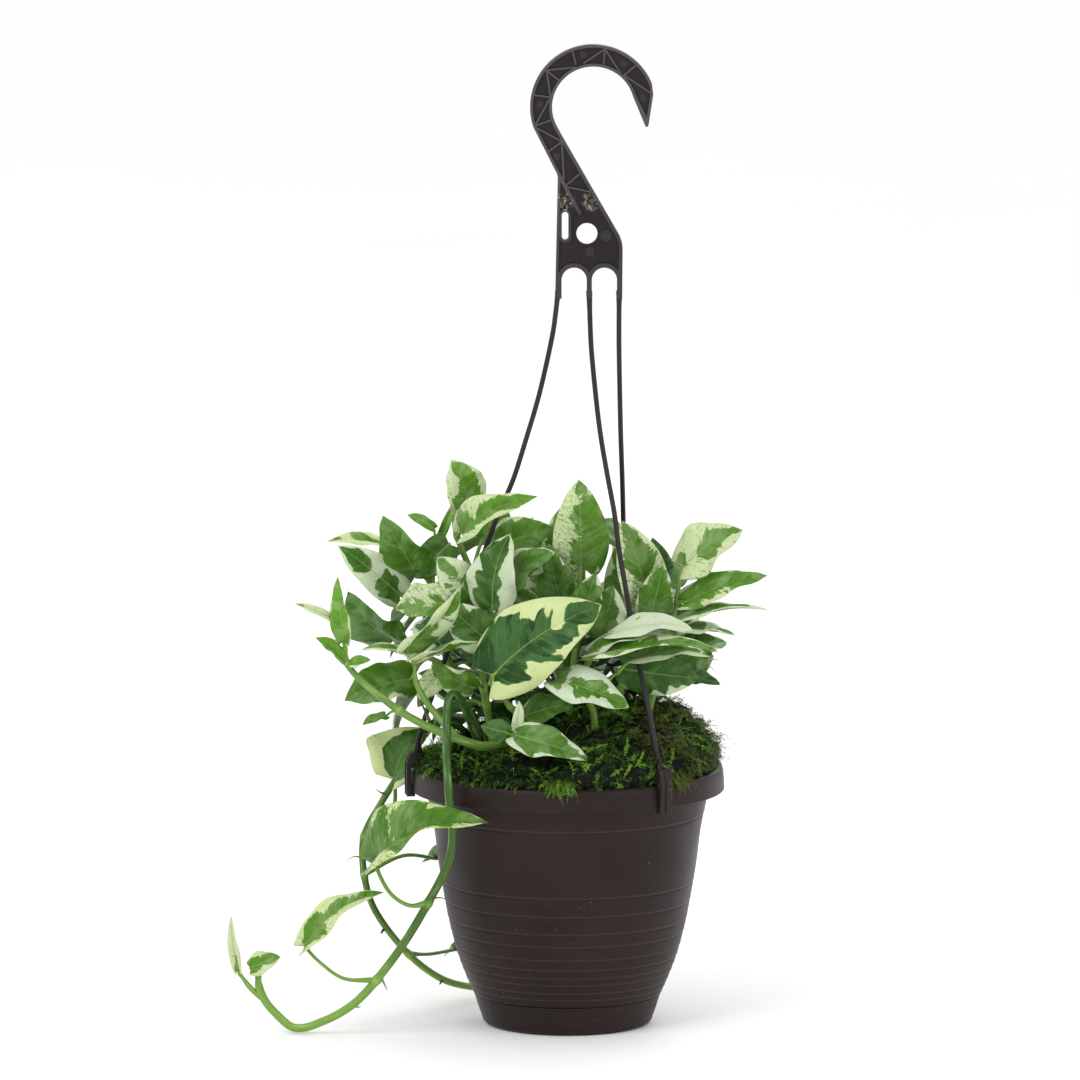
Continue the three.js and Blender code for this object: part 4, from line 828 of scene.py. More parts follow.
# Each stem's routes, as a radius and places, and then its leaves: the route and the joint that
# the stalk starts from, the blade's base and tip, its width, the way it faces, its arch, fold and
# sweep, its look, and places that the stalk passes. A look is how much is green, how that leans to
# one side, how creamy the rest is, how deep the green and how flecked. Places are x, depth y and
# height as seen from the front, 9 degrees up.
STEMS = {
    "stem_shoot_left": ([
        (3, (-30, -30, 128), (-44, -46, 147), (-57, -53, 151), (-66, -52, 154.5), (-76, -49, 159),
         (-88, -44, 166), (-101, -41, 176), (-110, -40, 184), (-115, -40, 191), (-116, -40, 199)),
        (2.4, (-57, -53, 151), (-66, -50, 161), (-74, -46, 171), (-79, -43, 181), (-80, -42, 191)),
    ], [
        (0, 10, (-122, -42, 214), (-142, -46, 223), 6, (-0.4, -0.8, 0.6), 0.06, 30, 0,
         (0.35, 0, 0.5, 0.3, 0.3)),
        (0, 10, (-117, -41, 203), (-121, -47, 236), 12, (-0.5, -1, 0.2), 0.08, 20, 0.05,
         (0.75, 0, 0.6, 0.1, 0.3)),
        (0, 9, (-117, -41, 193), (-131, -46, 205), 10, (0.2, -0.8, 0.8), 0.06, 20, 0,
         (0.8, 0, 0.5, 0.15, 0.2)),
        (0, 9, (-113, -42, 191), (-103, -47, 193), 7, (0.2, -1, 0.6), 0.05, 15, 0,
         (0.7, 0, 0.5, 0.2, 0.2)),
        (0, 6, (-95, -42, 163), (-107, -50, 159), 8, (0, -0.6, 1), 0.05, 15, 0,
         (0.85, 0, 0.4, 0.5, 0.1)),
        (1, 4, (-82, -42, 194), (-108, -46, 198), 12, (-0.1, -0.3, 1), 0.1, 20, 0,
         (0.5, 0.2, 0.5, 0.4, 0.3)),
        (1, 4, (-78, -44, 193), (-45, -52, 202), 18, (0.05, -0.25, -1), -0.1, 12, 0,
         (0.6, 0, 0.5, 0.4, 0.2)),
        (1, 4, (-84, -46, 198), (-54, -48, 230), 20, (0.75, -0.75, -0.2), 0.05, 16, 0,
         (0.45, 0, 0.5, 0.45, 0.3)),
    ]),
    "stem_left_back": ([
        (2.6, (-46, 6, 130), (-61, 12, 188), (-70, 14, 212), (-71, 14, 232), (-69, 14, 250)),
        (2, (-61, 12, 188), (-74, 16, 194), (-86, 18, 198)),
    ], [
        (0, 4, (-86, 12, 250), (-126, 4, 257), 15, (-0.1, -0.5, 1), 0.06, 15, 0,
         (0.42, 0.2, 0.8, 0.2, 0.3)),
        (0, 4, (-79, 8, 238), (-97, -6, 268), 27, (-0.5, -1, 0.15), 0.06, 12, 0.04,
         (1, 0, 0.4, 0.55, 0.1)),
        (0, 5, (-62, 9, 254), (-80, 4, 236), 20, (0.1, -1, 0.5), 0.08, 14, 0,
         (1, 0, 0.4, 0.75, 0.1)),
        (0, 3, (-88, 8, 227), (-119, -4, 253), 22, (-0.35, -0.8, 0.6), 0.06, 16, 0,
         (0.58, 0, 0.1, 0.7, 0.2)),
        (0, 5, (-70, 18, 262), (-84, 22, 270), 7, (0, -0.8, 0.5), 0.1, 25, 0,
         (0.8, 0, 0.5, 0.2, 0.1)),
        (0, 5, (-68, 20, 256), (-60, 22, 275), 7, (0.3, -1, 0.2), 0.04, 40, 0,
         (0.95, 0, 0.6, 0, 0)),
        (1, 2, (-91, 14, 203), (-116, 2, 227), 32, (-0.7, -0.75, -0.1), 0.12, 10, 0.05,
         (1.05, 0, 0.4, 0.7, 0)),
        (1, 2, (-92, 22, 205), (-111, 28, 214), 12, (-0.4, -0.6, 0.8), 0.06, 15, 0,
         (0.6, 0, 0.4, 0.3, 0.2)),
        (1, 1, (-82, 10, 182), (-117, -2, 171), 27, (-0.1, -0.85, 0.7), 0.1, 14, 0,
         (0.88, 0.3, 0.5, 0.5, 0.2)),
    ]),
    "stem_top": ([
        (2.6, (-22, 8, 130), (-36, 12, 205), (-50, 12, 238), (-58, 12, 258), (-60, 12, 268)),
    ], [
        (0, 5, (-52, 10, 274), (-60, 2, 298), 25, (0.3, -1, 0.25), 0.06, 14, 0.03,
         (0.52, 0, 0.5, 0.3, 0.6)),
        (0, 4, (-53.5, -7, 258.5), (-16, -24, 279.5), 22.5, (-0.7, -0.9, 0.5), 0.35, 30, 0.09,
         (0.48, 0, 0.6, 0.3, 0.7)),
        (0, 3, (-37, 2, 254), (-8, -5, 263), 24, (0.1, -1, 0.55), 0.1, 14, 0.05,
         (0.8, 0, 0.4, 0.4, 0.3)),
        (0, 3, (-44, 18, 257), (-37, 30, 279), 23, (0.5, -0.4, 0.8), 0.1, 14, 0,
         (0.7, 0, 0.4, 0.3, 0.3)),
        (0, 2, (-26, 20, 236), (-2, 30, 262), 28, (0.4, -0.6, 0.8), 0.1, 14, 0,
         (0.6, 0, 0.4, 0.5, 0.4)),
    ]),
    "stem_middle_left": ([
        (2.6, (-39, -12, 130), (-44, -20, 178), (-46, -24, 200), (-46, -24, 214)),
    ], [
        (0, 4, (-39, -30, 220), (-31, -34, 259), 28, (-0.35, -1, 0.15), 0.07, 14, -0.05,
         (0.54, 0, 0.1, 0.8, 0.2)),
        (0, 4, (-29, -24, 231), (-8, -32, 251), 25, (-0.3, -0.6, 1), 0.1, 16, 0,
         (0.66, 0.3, 0.2, 0.6, 0.2)),
        (0, 3, (-63, -30, 222), (-90, -34, 220), 26, (0, -0.75, 0.75), 0.1, 16, 0,
         (0.38, -0.4, 0.5, 0.4, 0.9)),
        (0, 3, (-41, -30, 202), (-63, -34, 222), 24, (0.3, -1, -0.2), 0.08, 8, 0,
         (0.7, 0, 0.3, 0.7, 0.3)),
        (0, 2, (-49, -34, 178), (-71, -40, 191), 17, (0.2, -1, -0.6), 0.1, 10, 0,
         (0.7, 0, 0.3, 0.5, 0.4)),
        (0, 2, (-64, -26, 187), (-78, -31, 172), 14, (-0.3, -1, 0.3), 0.06, 14, 0,
         (0.15, 0, 0.7, 0.4, 0.9)),
        (0, 4, (-50, -20, 226), (-68, -22, 247), 22, (-0.3, -0.8, 0.6), 0.08, 14, 0,
         (0.5, 0, 0.4, 0.5, 0.5)),
    ]),
    "stem_big_leaf": ([
        (2.4, (-17, -34, 131), (-30, -40, 168), (-40, -44, 180)),
    ], [
        (0, 3, (-39, -50, 184.5), (16, -62, 222), 42.5, (-0.1, -1, 0.3), 0.04, 10, -0.05,
         (0.62, 0, 0.9, 1, 0.1)),
        (0, 2, (-22, -42, 163), (2, -50, 170), 18, (0, -0.8, 0.6), 0.06, 14, 0,
         (0.9, 0, 0.3, 0.7, 0.1)),
    ]),
    "stem_low_front": ([
        (2, (-20, -50, 130), (-27, -60, 149), (-29, -61, 153)),
    ], [
        (0, 3, (-27, -63, 153), (11, -74, 142), 20, (0, -0.85, 0.7), 0.1, 14, 0.05,
         (0.64, 0, 0.1, 0.6, 0.2)),
        (0, 3, (-31, -63, 154), (-45, -70, 158), 13, (0, -1, 0.3), 0.06, 10, 0,
         (0.95, 0, 0.3, 0.9, 0)),
        (0, 3, (-27, -61, 156), (-25, -66, 171), 7, (0.3, -1, 0), 0.05, 14, 0,
         (0.25, 0, 0.3, 0.4, 0.3)),
    ]),
    "stem_centre": ([
        (2.6, (1, -8, 130), (4, -8, 200), (6, -6, 228)),
        (2, (4, -8, 200), (9, -16, 210), (13, -20, 216)),
    ], [
        (0, 3, (7, -4, 242), (6, -14, 287), 31, (0.05, -1, 0.2), 0.06, 14, 0,
         (0.5, 0.5, 0.6, 0.4, 1)),
        (0, 3, (0, 8, 236), (-5, 10, 273), 22, (-0.5, -0.8, 0.3), 0.06, 16, 0,
         (0.45, 0, 0.3, 0.4, 0.7)),
        (1, 2, (11, -26, 208), (14, -34, 238), 22, (-0.2, -1, 0.2), 0.06, 12, -0.04,
         (0.8, 0, 0.3, 0.6, 0.2)),
        (1, 2, (15, -24, 206), (24, -22, 232), 22, (0.45, -1, 0.2), 0.06, 12, 0.04,
         (0.6, -0.35, 0.2, 0.6, 0.2)),
        (0, 2, (-3, -14, 222), (-10, -20, 254), 20, (-0.3, -1, 0.2), 0.06, 12, 0,
         (0.78, 0, 0.3, 0.6, 0.2)),
    ]),
    "stem_right_top": ([
        (2.6, (27, -4, 130), (34, -2, 195), (39, -2, 210)),
    ], [
        (0, 3, (41, -6, 219), (29, -12, 266), 28, (0.25, -1, 0.2), 0.05, 12, 0.04,
         (0.45, 0, 0.4, 0.5, 1)),
        (0, 3, (44, 6, 226), (46, 4, 257), 22, (0.5, -0.8, 0.3), 0.06, 14, 0, (1, 0, 0.3, 0.9, 0)),
        (0, 3, (43, -12, 214), (50, -18, 243), 20, (0.1, -1, 0.2), 0.06, 12, 0,
         (0.8, 0, 0.3, 0.5, 0.5)),
        (0, 2, (30, 8, 218), (33, 14, 262), 26, (0.1, -0.7, 0.6), 0.08, 14, 0,
         (0.7, 0, 0.3, 0.5, 0.3)),
    ]),
    "stem_right": ([
        (2.6, (43, -14, 130), (50, -14, 188), (54, -14, 206), (57, -12, 222)),
    ], [
        (0, 4, (60, -10, 241), (90, -14, 263), 30, (0, -0.7, 0.8), 0.1, 12, 0,
         (0.5, 0, 0.6, 0.4, 0.6)),
        (0, 4, (62, -16, 223), (104, -24, 238), 19, (-0.1, -0.7, 0.8), 0.06, 16, 0,
         (0.78, 0, 0.6, 0.35, 0.4)),
        (0, 3, (56, -20, 211), (105, -32, 220), 12, (0, -0.3, 1), 0.08, 20, 0,
         (0.5, 0, 0.15, 0.45, 0.4)),
        (0, 3, (60, -18, 208), (88, -26, 206), 14, (0, -0.3, 1), 0.05, 18, 0,
         (0.5, 0, 0.2, 0.4, 0.3)),
        (0, 2, (57, -14, 198), (78, -20, 204), 14, (0.1, -0.6, 0.8), 0.06, 14, 0,
         (0.95, 0, 0.3, 0.8, 0)),
        (0, 2, (62, -24, 184), (80, -30, 180), 10, (0, -0.6, 0.8), 0.04, 14, 0,
         (0.97, 0, 0.3, 0.9, 0)),
        (0, 2, (58, 6, 192), (84, 22, 202), 20, (0.3, -0.3, 1), 0.1, 14, 0,
         (0.7, 0, 0.3, 0.6, 0.3)),
    ]),
    "stem_right_front": ([
        (2.4, (14, -40, 132), (11, -46, 172), (9, -48, 188)),
        (2, (11, -46, 172), (19, -46, 180), (26, -46, 186)),
    ], [
        (0, 3, (24, -52, 206), (65, -66, 211), 20, (0, -0.45, 1), 0.08, 12, 0,
         (0.16, -0.2, 0.1, 0.6, 0.3)),
        (0, 3, (11, -52, 196), (39, -62, 205), 14, (0, -0.6, 1), 0.08, 16, 0,
         (0.5, 0, 0.2, 0.5, 0.3)),
        (0, 3, (13, -58, 193), (78, -74, 201), 18, (0, -0.3, 1), 0.07, 18, 0,
         (0.5, 0.25, 0.3, 0.5, 0.3)),
        (1, 2, (30, -37, 188), (69, -34, 183), 24, (0.1, -0.9, -0.1), 0.06, 8, 0,
         (0.88, -0.3, 0.2, 0.85, 0.2)),
        (1, 2, (36, -47, 193), (74, -54, 197), 13, (0, -0.6, 0.8), 0.1, 14, 0,
         (0.66, -0.35, 0.5, 0.65, 0.2)),
        (0, 2, (-6, -54, 182), (32, -70, 168), 24, (0, -0.75, 0.8), 0.12, 12, 0.04,
         (0.6, 0, 0, 0.5, 0.3)),
    ]),
    "vine_front": ([
        (2.4, (-46, -26, 130), (-56, -48, 172), (-62, -60, 172), (-63, -64, 150), (-62, -63, 122),
         (-60, -60, 100), (-63, -58, 84), (-73, -56, 64), (-86, -54, 42), (-100, -50, 23),
         (-110, -46, 12), (-120, -42, 4.8), (-130, -38, 0), (-138, -35.5, -2.7), (-145, -34.5, -2),
         (-152, -35, 4), (-158, -36, 11), (-161.5, -37, 19), (-162, -37, 25)),
        (1.6, (-158, -36, 11), (-166, -36.5, 18.5), (-172, -37, 26.5)),
    ], [
        (0, 8, (-100, -58, 84), (-42.5, -74, 109), 39, (-0.6, -0.52, 0.6), 0.32, 32, 0.13,
         (0.7, 0, 1, 0.5, 1), (-83, -59, 63), (-93, -61, 70)),
        (0, 10, (-137, -50, 41), (-97, -56, 71), 19, (-0.6, -0.7, 0.6), 0.12, 18, -0.03,
         (0.5, 0, 0.8, 0.35, 0.7), (-117, -53, 24), (-130, -51, 33)),
        (0, 19, (-166, -38, 29), (-150.5, -40, 35.5), 13, (0.3, -0.8, 0.6), 0.06, 14, 0,
         (0.45, 0, 0.5, 0.3, 0.4)),
        (1, 2, (-172.5, -37, 28), (-176.5, -40, 57), 7, (-0.3, -1, 0.2), 0.05, 30, 0,
         (0.4, 0, 0.5, 0.3, 0.3)),
    ]),
    "vine_back": ([
        (2, (-54, 26, 132), (-72, 25, 158), (-88, 22, 132), (-98, 20, 116), (-107, 18, 98),
         (-107, 18, 78), (-101, 22, 58), (-84, 34, 35), (-66, 48, 21), (-48, 62, 16),
         (-34, 70, 14.5)),
    ], [
        (0, 5, (-91, 27, 128), (-74, 24, 156), 39, (-0.6, -0.8, 0.1), 0.06, 40, -0.1,
         (0.56, 0.3, 0.9, 0.75, 0.2), (-97, 21, 103), (-91, 25, 116)),
        (0, 6, (-70, 40, 86), (-38, 74, 96), 24, (-0.3, 0.5, 1), 0.1, 14, 0,
         (0.7, 0, 0.4, 0.5, 0.3)),
        (0, 8, (-60, 60, 36.5), (-30, 84, 46), 22, (-0.2, 0.6, 1), 0.1, 14, 0,
         (0.6, 0, 0.4, 0.5, 0.3), (-73, 46, 34.5)),
        (0, 11, (-26, 74, 20), (6, 82, 22), 20, (0, 0.3, 1), 0.08, 14, 0, (0.7, 0, 0.4, 0.5, 0.3)),
    ]),
}


def seen(place):
    x, y, height = place
    return np.array([x, y, height - y * VIEW_TILT])


# The stems that fill the back and the middle: azimuth, distance out, height, leaves and seed.
HIDDEN_STEMS = {
    "stem_back_1": (12, 44, 205, 9, 2),
    "stem_back_2": (48, 46, 214, 8, 1),
    "stem_back_3": (88, 46, 222, 8, 1),
    "stem_back_4": (128, 48, 224, 9, 4),
    "stem_middle_1": (100, 12, 232, 8, 1),
}
# The most that each formula for a blade's half width comes to, how deep the blade's edge ripples
# against that width, and how far apart its side veins run.
WIDEST = 0.36 ** 0.45 * 0.64 ** 0.8
WIDEST_FINISHED = 0.34 ** 0.4 * 0.66 ** 0.78
WAVE = 0.16
VEIN_GAP = 5.2


def drawer(seed):
    """A small generator of evenly spread draws between 0 and 1."""
    state = seed * 7919
    while True:
        state = (state * 1664525 + 1013904223) % 4294967296
        yield state / 4294967296


class Leaf:
    """A leaf: where its stalk starts and passes, and its blade's base, tip, width and bends."""

    def __init__(self, start, base, tip, width, face, arch, fold, sweep, look, via=()):
        self.start = start
        self.base = base
        self.width = width
        self.arch = arch
        self.sweep = sweep
        self.look = look
        self.via = list(via)
        self.length = np.linalg.norm(tip - base)
        self.along = (tip - base) / self.length
        face = np.array(face, float)
        self.out = unit(face - face @ self.along * self.along)
        self.across = np.cross(self.along, self.out)
        self.lift = math.sin(math.radians(fold))
        self.spread = math.cos(math.radians(fold))
        draws = drawer(int(abs(7 * base[0]) + abs(13 * base[2])) + 3)
        self.ruffles = 12 + 9 * next(draws)
        self.turn = 6 * next(draws)
        self.twist = 0.8 * (next(draws) - 0.5)
        self.hook = 0.12 * next(draws)
        self.puff = 0.05 + 0.06 * next(draws)

    def half_width(self, s):
        return self.width / 2 * s ** 0.45 * (1 - s) ** 0.8 / WIDEST

    def finished_half_width(self, s):
        """Fuller towards the base, and drawn in just before a short point."""
        full = s ** 0.4 * (1 - s) ** 0.78 / WIDEST_FINISHED
        return self.width / 2 * full * (1 - 0.35 * np.exp(-((1 - s) / 0.06) ** 2))

    def point(self, s, back, lifted, flat):
        bow = 4 * s * (1 - s) * self.length
        return (self.base + self.along * (s * self.length - back)[..., None]
                + self.out * (lifted + self.arch * bow)[..., None]
                + self.across * (flat + self.sweep * bow)[..., None])

    def plain(self, s, t):
        """Points of the CAD blade, s from base to tip and t from edge to edge. Its halves lift
        by the fold, its middle bows by the arch, its lobes reach back and its edges ripple."""
        half = self.half_width(s)
        back = 0.1 * self.length * np.abs(t) ** 1.5 * (1 - s) ** 4
        ripple = WAVE * half * t * t * np.sin(9 * s + 2 * t)
        lifted = np.abs(t) * half * self.lift + ripple
        return self.point(s, back, lifted, t * half * self.spread)

    def finished(self, s, t):
        """The same blade in full: its halves puff up beside the groove of the midrib and between
        the side veins, its edges curl under and ruffle, and its tip twists and hooks down."""
        half = self.finished_half_width(s)
        far = np.abs(t)
        aside = far * half
        back = 0.15 * self.length * far ** 1.6 * (1 - s) ** 5
        vein = s * self.length - 0.75 * aside
        quilt = np.sin(vein * 2 * np.pi / VEIN_GAP + self.turn) * np.sin(np.pi * far)
        lifted = aside * self.lift + WAVE * half * t * t * np.sin(9 * s + 2 * t)
        lifted += half * (self.puff * np.sin(np.pi * far) + 0.008 * quilt - 0.09 * far ** 5)
        lifted += 0.08 * half * far ** 3 * np.sin(self.ruffles * s + 3 * t + self.turn)
        lifted -= np.minimum(0.5, 0.06 * half) * np.exp(-(aside / 0.9) ** 2)
        flat = t * half * self.spread
        angle = self.twist * (s - 0.3)
        lifted, flat = (lifted * np.cos(angle) + flat * np.sin(angle),
                        flat * np.cos(angle) - lifted * np.sin(angle))
        lifted -= self.hook * self.length * smooth_step(s, 0.6, 1.1) * s
        return self.point(s, back, lifted, flat)

    def stalk_points(self):
        """The stalk rises from the stem, bends over and meets its blade."""
        reach = np.linalg.norm(self.base - self.start)
        knee = self.start + 0.55 * (self.base - self.start) + np.array([0, 0, 0.12 * reach])
        if self.via:
            return [self.start, *self.via]
        return [self.start] if reach < 4 else [self.start, knee]


FOOT_RISE = 3


def read_stem(routes, leaves):
    """A stem's routes as lists of points with a radius each, and its leaves. The first route
    gets a second point just over the moss, so that the stem stands upright up to there."""
    read = [(radius, [seen(point) for point in points]) for radius, *points in routes]
    foot = read[0][1][0]
    top = float(moss_top(foot[0], foot[1])) + FOOT_RISE
    read[0][1].insert(1, np.array([foot[0], foot[1], top]))
    grown = []
    for route, joint, base, tip, width, face, arch, fold, sweep, look, *via in leaves:
        start = read[route][1][joint]
        grown.append(Leaf(start, seen(base), seen(tip), width, face, arch, fold, sweep, look,
                          [seen(point) for point in via]))
    return read, grown


stems = {name: read_stem(*stem) for name, stem in STEMS.items()}


def samples_of_route(points):
    """Points along a route at each quarter of the way from one to the next, ends included."""
    line = np.array(points)
    share = np.linspace(0, 1, 5)[None, :, None]
    return (line[:-1, None] * (1 - share) + line[1:, None] * share).reshape(-1, 3)


def samples_of_leaf(leaf):
    s, t = np.meshgrid([0, 0.17, 0.34, 0.51, 0.68, 0.85, 1], [-1, -0.5, 0, 0.5, 1], indexing="ij")
    return leaf.plain(s, t).reshape(-1, 3), samples_of_route([*leaf.stalk_points(), leaf.base])


UP = np.array([0, 0, 1])
# How many leaves are tried for a hidden stem, and how far their points stay from all others.
GROW_TRIES = 500
CLEARANCE = 5.6
# The plant's outline from the front: its height in the middle, how it drops to the sides, and how
# far leaves reach left, right and out. Near the pot they stay over its rim, and none goes lower.
SKY_TOP = 274
SKY_DROP = 0.0055
REACH_LEFT = 104
REACH_RIGHT = 80
REACH_OUT = 120
RIM_REACH = 88
RIM_CLEAR = 168
LOWEST = 118


def is_clear(spots, others, room=CLEARANCE):
    gaps = np.linalg.norm(spots[:, None] - others[None], axis=2)
    return bool(gaps.min() > room)


def between(low, high, share):
    return low + (high - low) * share


def level(heading):
    return np.array([math.cos(heading), math.sin(heading), 0])


def drooping(base, heading, droop, long, lean):
    """The tip and the face of a blade that runs out from its base and leans aside."""
    flat = level(heading)
    tip = base + long * (math.cos(droop) * flat + math.sin(droop) * UP)
    return tip, 0.5 * flat + lean * np.array([-flat[1], flat[0], 0]) + UP


def grow(azimuth, out, height, count, seed, taken):
    """A hidden stem and its leaves. Each leaf is drawn in a fan round the stem's azimuth, and
    kept only inside the plant's rounded outline, off the rim and clear of what is taken."""
    draws = drawer(seed)
    turn = math.radians(azimuth)

    def at(reach, z):
        return np.array([reach * math.cos(turn), reach * math.sin(turn), z])

    foot = at(out, 126)
    top = float(moss_top(foot[0], foot[1])) + FOOT_RISE
    points = [foot, at(out, top), at(out + 7, 186), at(out + 12, height)]
    leaves = []
    blades = []
    stalks = []
    looks = drawer(seed + 50)
    for _ in range(GROW_TRIES):
        if len(leaves) == count:
            break
        heading = turn + (next(draws) - 0.5) * 2.6
        climb = math.radians(between(-25, 70, next(draws)))
        reach = between(22, 44, next(draws))
        long = between(38, 56, next(draws))
        start = points[1 + math.floor(next(draws) * 3)]
        base = start + reach * math.cos(climb) * level(heading)
        base = base + (reach * math.sin(climb) + 6) * UP
        droop = climb - between(0.3, 0.9, next(draws))
        tip, face = drooping(base, heading, droop, long, (next(draws) - 0.5) * 1.2)
        width = long * between(0.5, 0.62, next(draws))
        arch = between(0.05, 0.12, next(draws))
        fold = between(8, 20, next(draws))
        sweep = (next(draws) - 0.5) * 0.08
        leaf = Leaf(start, base, tip, width, face, arch, fold, sweep, None)
        blade, stalk = samples_of_leaf(leaf)
        spots = np.concatenate([blade, stalk])
        ring = np.hypot(blade[:, 0], blade[:, 1])
        skyline = SKY_TOP - SKY_DROP * spots[:, 0] ** 2
        high = spots[:, 2] + spots[:, 1] * VIEW_TILT > skyline
        wide = (spots[:, 0] < -REACH_LEFT) | (spots[:, 0] > REACH_RIGHT)
        wide |= np.hypot(spots[:, 0], spots[:, 1]) > REACH_OUT
        on_rim = np.any((ring < RIM_REACH) & (blade[:, 2] < RIM_CLEAR))
        if blade[:, 2].min() <= LOWEST or on_rim:
            continue
        if np.any(high | wide) or not is_clear(spots, np.concatenate(taken)):
            continue
        if blades and not is_clear(blade, np.concatenate(blades)):
            continue
        leaf.look = (between(0.3, 0.8, next(looks)), (next(looks) - 0.5) * 0.4, next(looks) * 0.6,
                     between(0.3, 0.8, next(looks)), next(looks) * 0.6)
        leaves.append(leaf)
        blades.append(blade)
        stalks.append(stalk)
    taken += [*blades, *stalks, samples_of_route(points)]
    return [(2.4, points)], leaves


taken = [samples_of_route(points) for points in STRANDS.values()]
for routes, leaves in stems.values():
    taken += [samples_of_route(points) for _, points in routes]
    for leaf in leaves:
        taken += samples_of_leaf(leaf)
for name, rule in HIDDEN_STEMS.items():
    stems[name] = grow(*rule, taken)

# The shaded leaves: how many are tried, how far they stay from the others, how high they start,
# and how far they reach to the front, to the right and out.
SHADE_TRIES = 3000
SHADE_ROOM = 2.6
SHADE_TOP = 208
SHADE_FRONT = -20
SHADE_RIGHT = 58
SHADE_OUT = 84


def shaded(count, seed, taken):
    """Leaves in the shade inside the plant, coloured a deeper green as painted shade. Each is drawn
    anywhere between the moss and the crown, behind the front stems, and hangs from the nearest
    stem. It is kept only clear of what is taken."""
    draws = drawer(seed)
    lines = {name: through(routes[0][1][1:], 6) for name, (routes, _) in stems.items()
             if not name.startswith("vine")}
    owners = np.concatenate([[name] * len(line) for name, line in lines.items()])
    spots = np.concatenate(list(lines.values()))
    others = np.concatenate(taken)
    for _ in range(SHADE_TRIES):
        if not count:
            break
        turn = between(-0.15, 3.5, next(draws))
        radius = 74 * math.sqrt(next(draws))
        x, y = radius * math.cos(turn), radius * math.sin(turn)
        base = np.array([x, y, between(float(moss_top(x, y)) + 5, SHADE_TOP, next(draws))])
        away = np.linalg.norm(spots - base, axis=1)
        start = spots[away.argmin()]
        heading = math.atan2(y - start[1], x - start[0]) + between(-0.9, 0.9, next(draws))
        droop = between(-0.9, 0.5, next(draws))
        long = between(22, 38, next(draws))
        tip, face = drooping(base, heading, droop, long, next(draws) - 0.5)
        # Painted shade: these leaves get a deeper, fuller green than the lit ones.
        look = (between(0.6, 1, next(draws)), 0, 0.3, between(0.8, 1.1, next(draws)), 0.3)
        if not 6 < away.min() < 34 or not is_clear(base[None], others, SHADE_ROOM):
            continue
        leaf = Leaf(start, base, tip, long * 0.58, face, 0.08, 14, 0, look)
        blade, stalk = samples_of_leaf(leaf)
        floor = moss_top(blade[:, 0], blade[:, 1]) + 2
        if np.hypot(blade[:, 0], blade[:, 1]).max() > SHADE_OUT or np.any(blade[:, 2] < floor):
            continue
        if blade[:, 1].min() < SHADE_FRONT or blade[:, 0].max() > SHADE_RIGHT:
            continue
        if not is_clear(blade, others, SHADE_ROOM):
            continue
        stems[owners[away.argmin()]][1].append(leaf)
        others = np.concatenate([others, blade, stalk])
        count -= 1


shaded(count=110, seed=7, taken=taken)

BLADE_THICK = 0.8
LARGE_BLADE = 38
# The two materials of a leafy stem, by their places in its list.
BLADE = 0
STALK = 1


def blade_part(leaf, seed):
    """A closed blade: each ring crosses the upper face from edge to edge and comes back along the
    lower one. Returns its skin and, for each point, its place, its share and its look. Green
    keeps to the midrib where a blade is part green and part pale."""
    rows, columns = (26, 16) if leaf.length > LARGE_BLADE else (16, 10)
    s = np.linspace(0, 1, rows + 2)[1:-1] ** 1.15 * 0.997
    t = np.sin(np.linspace(-np.pi / 2, np.pi / 2, columns + 1))
    t = np.concatenate([t, t[-2:0:-1]])
    side = np.concatenate([np.ones(columns + 1), -np.ones(columns - 1)])
    s, t = np.meshgrid(s, t, indexing="ij")
    side = np.broadcast_to(side, s.shape)
    thick = BLADE_THICK / 2 * np.sqrt(np.clip(1 - np.abs(t) ** 3, 0, 1)) * (1 - 0.4 * s)
    rings = leaf.finished(s, t) + leaf.out * (side * thick)[..., None]
    tip = leaf.finished(np.array([1.0]), np.array([0.0]))[0]
    skin = ring_skin(rings, leaf.base, tip)
    across = t * leaf.finished_half_width(s)
    cover, lean, cream, deep, fleck = leaf.look
    field = cover + lean * t - 2.2 * cover * (1 - cover) * (np.abs(t) ** 2 - 0.35)
    place = np.stack([across, s * leaf.length, np.full(s.shape, seed)], -1).reshape(-1, 3)
    share = np.stack([t, s, side], -1).reshape(-1, 3)
    look = np.stack([field, np.full(s.shape, cream), np.full(s.shape, deep),
                     np.full(s.shape, fleck)], -1).reshape(-1, 4)
    place = np.concatenate([place, [(0, 0, seed), (0, leaf.length, seed)]])
    share = np.concatenate([share, [(0, 0, 1), (0, 1, 1)]])
    look = np.concatenate([look, look[:1], look[-1:]])
    return skin, place, share, look, BLADE


def stalk_part(path, radius, sides, pale, brown):
    """A stem, a stalk or a root: its skin and, for each point, its place along it and its look,
    which says how pale and how brown it is. The third array is there to match the blades'."""
    skin = tube(path, radius, sides)
    rows = len(path)
    run = np.concatenate([[0], np.cumsum(np.linalg.norm(np.diff(path, axis=0), axis=1))])
    place = np.zeros((len(skin[0]), 3))
    place[: rows * sides, 0] = np.tile(np.arange(sides), rows)
    place[: rows * sides, 1] = np.repeat(run, sides)
    share = np.zeros((len(skin[0]), 3))
    look = np.zeros((len(skin[0]), 4))
    look[: rows * sides, 0] = np.repeat(np.broadcast_to(pale, rows), sides)
    look[: rows * sides, 1] = np.repeat(np.broadcast_to(brown, rows), sides)
    return skin, place, share, look, STALK


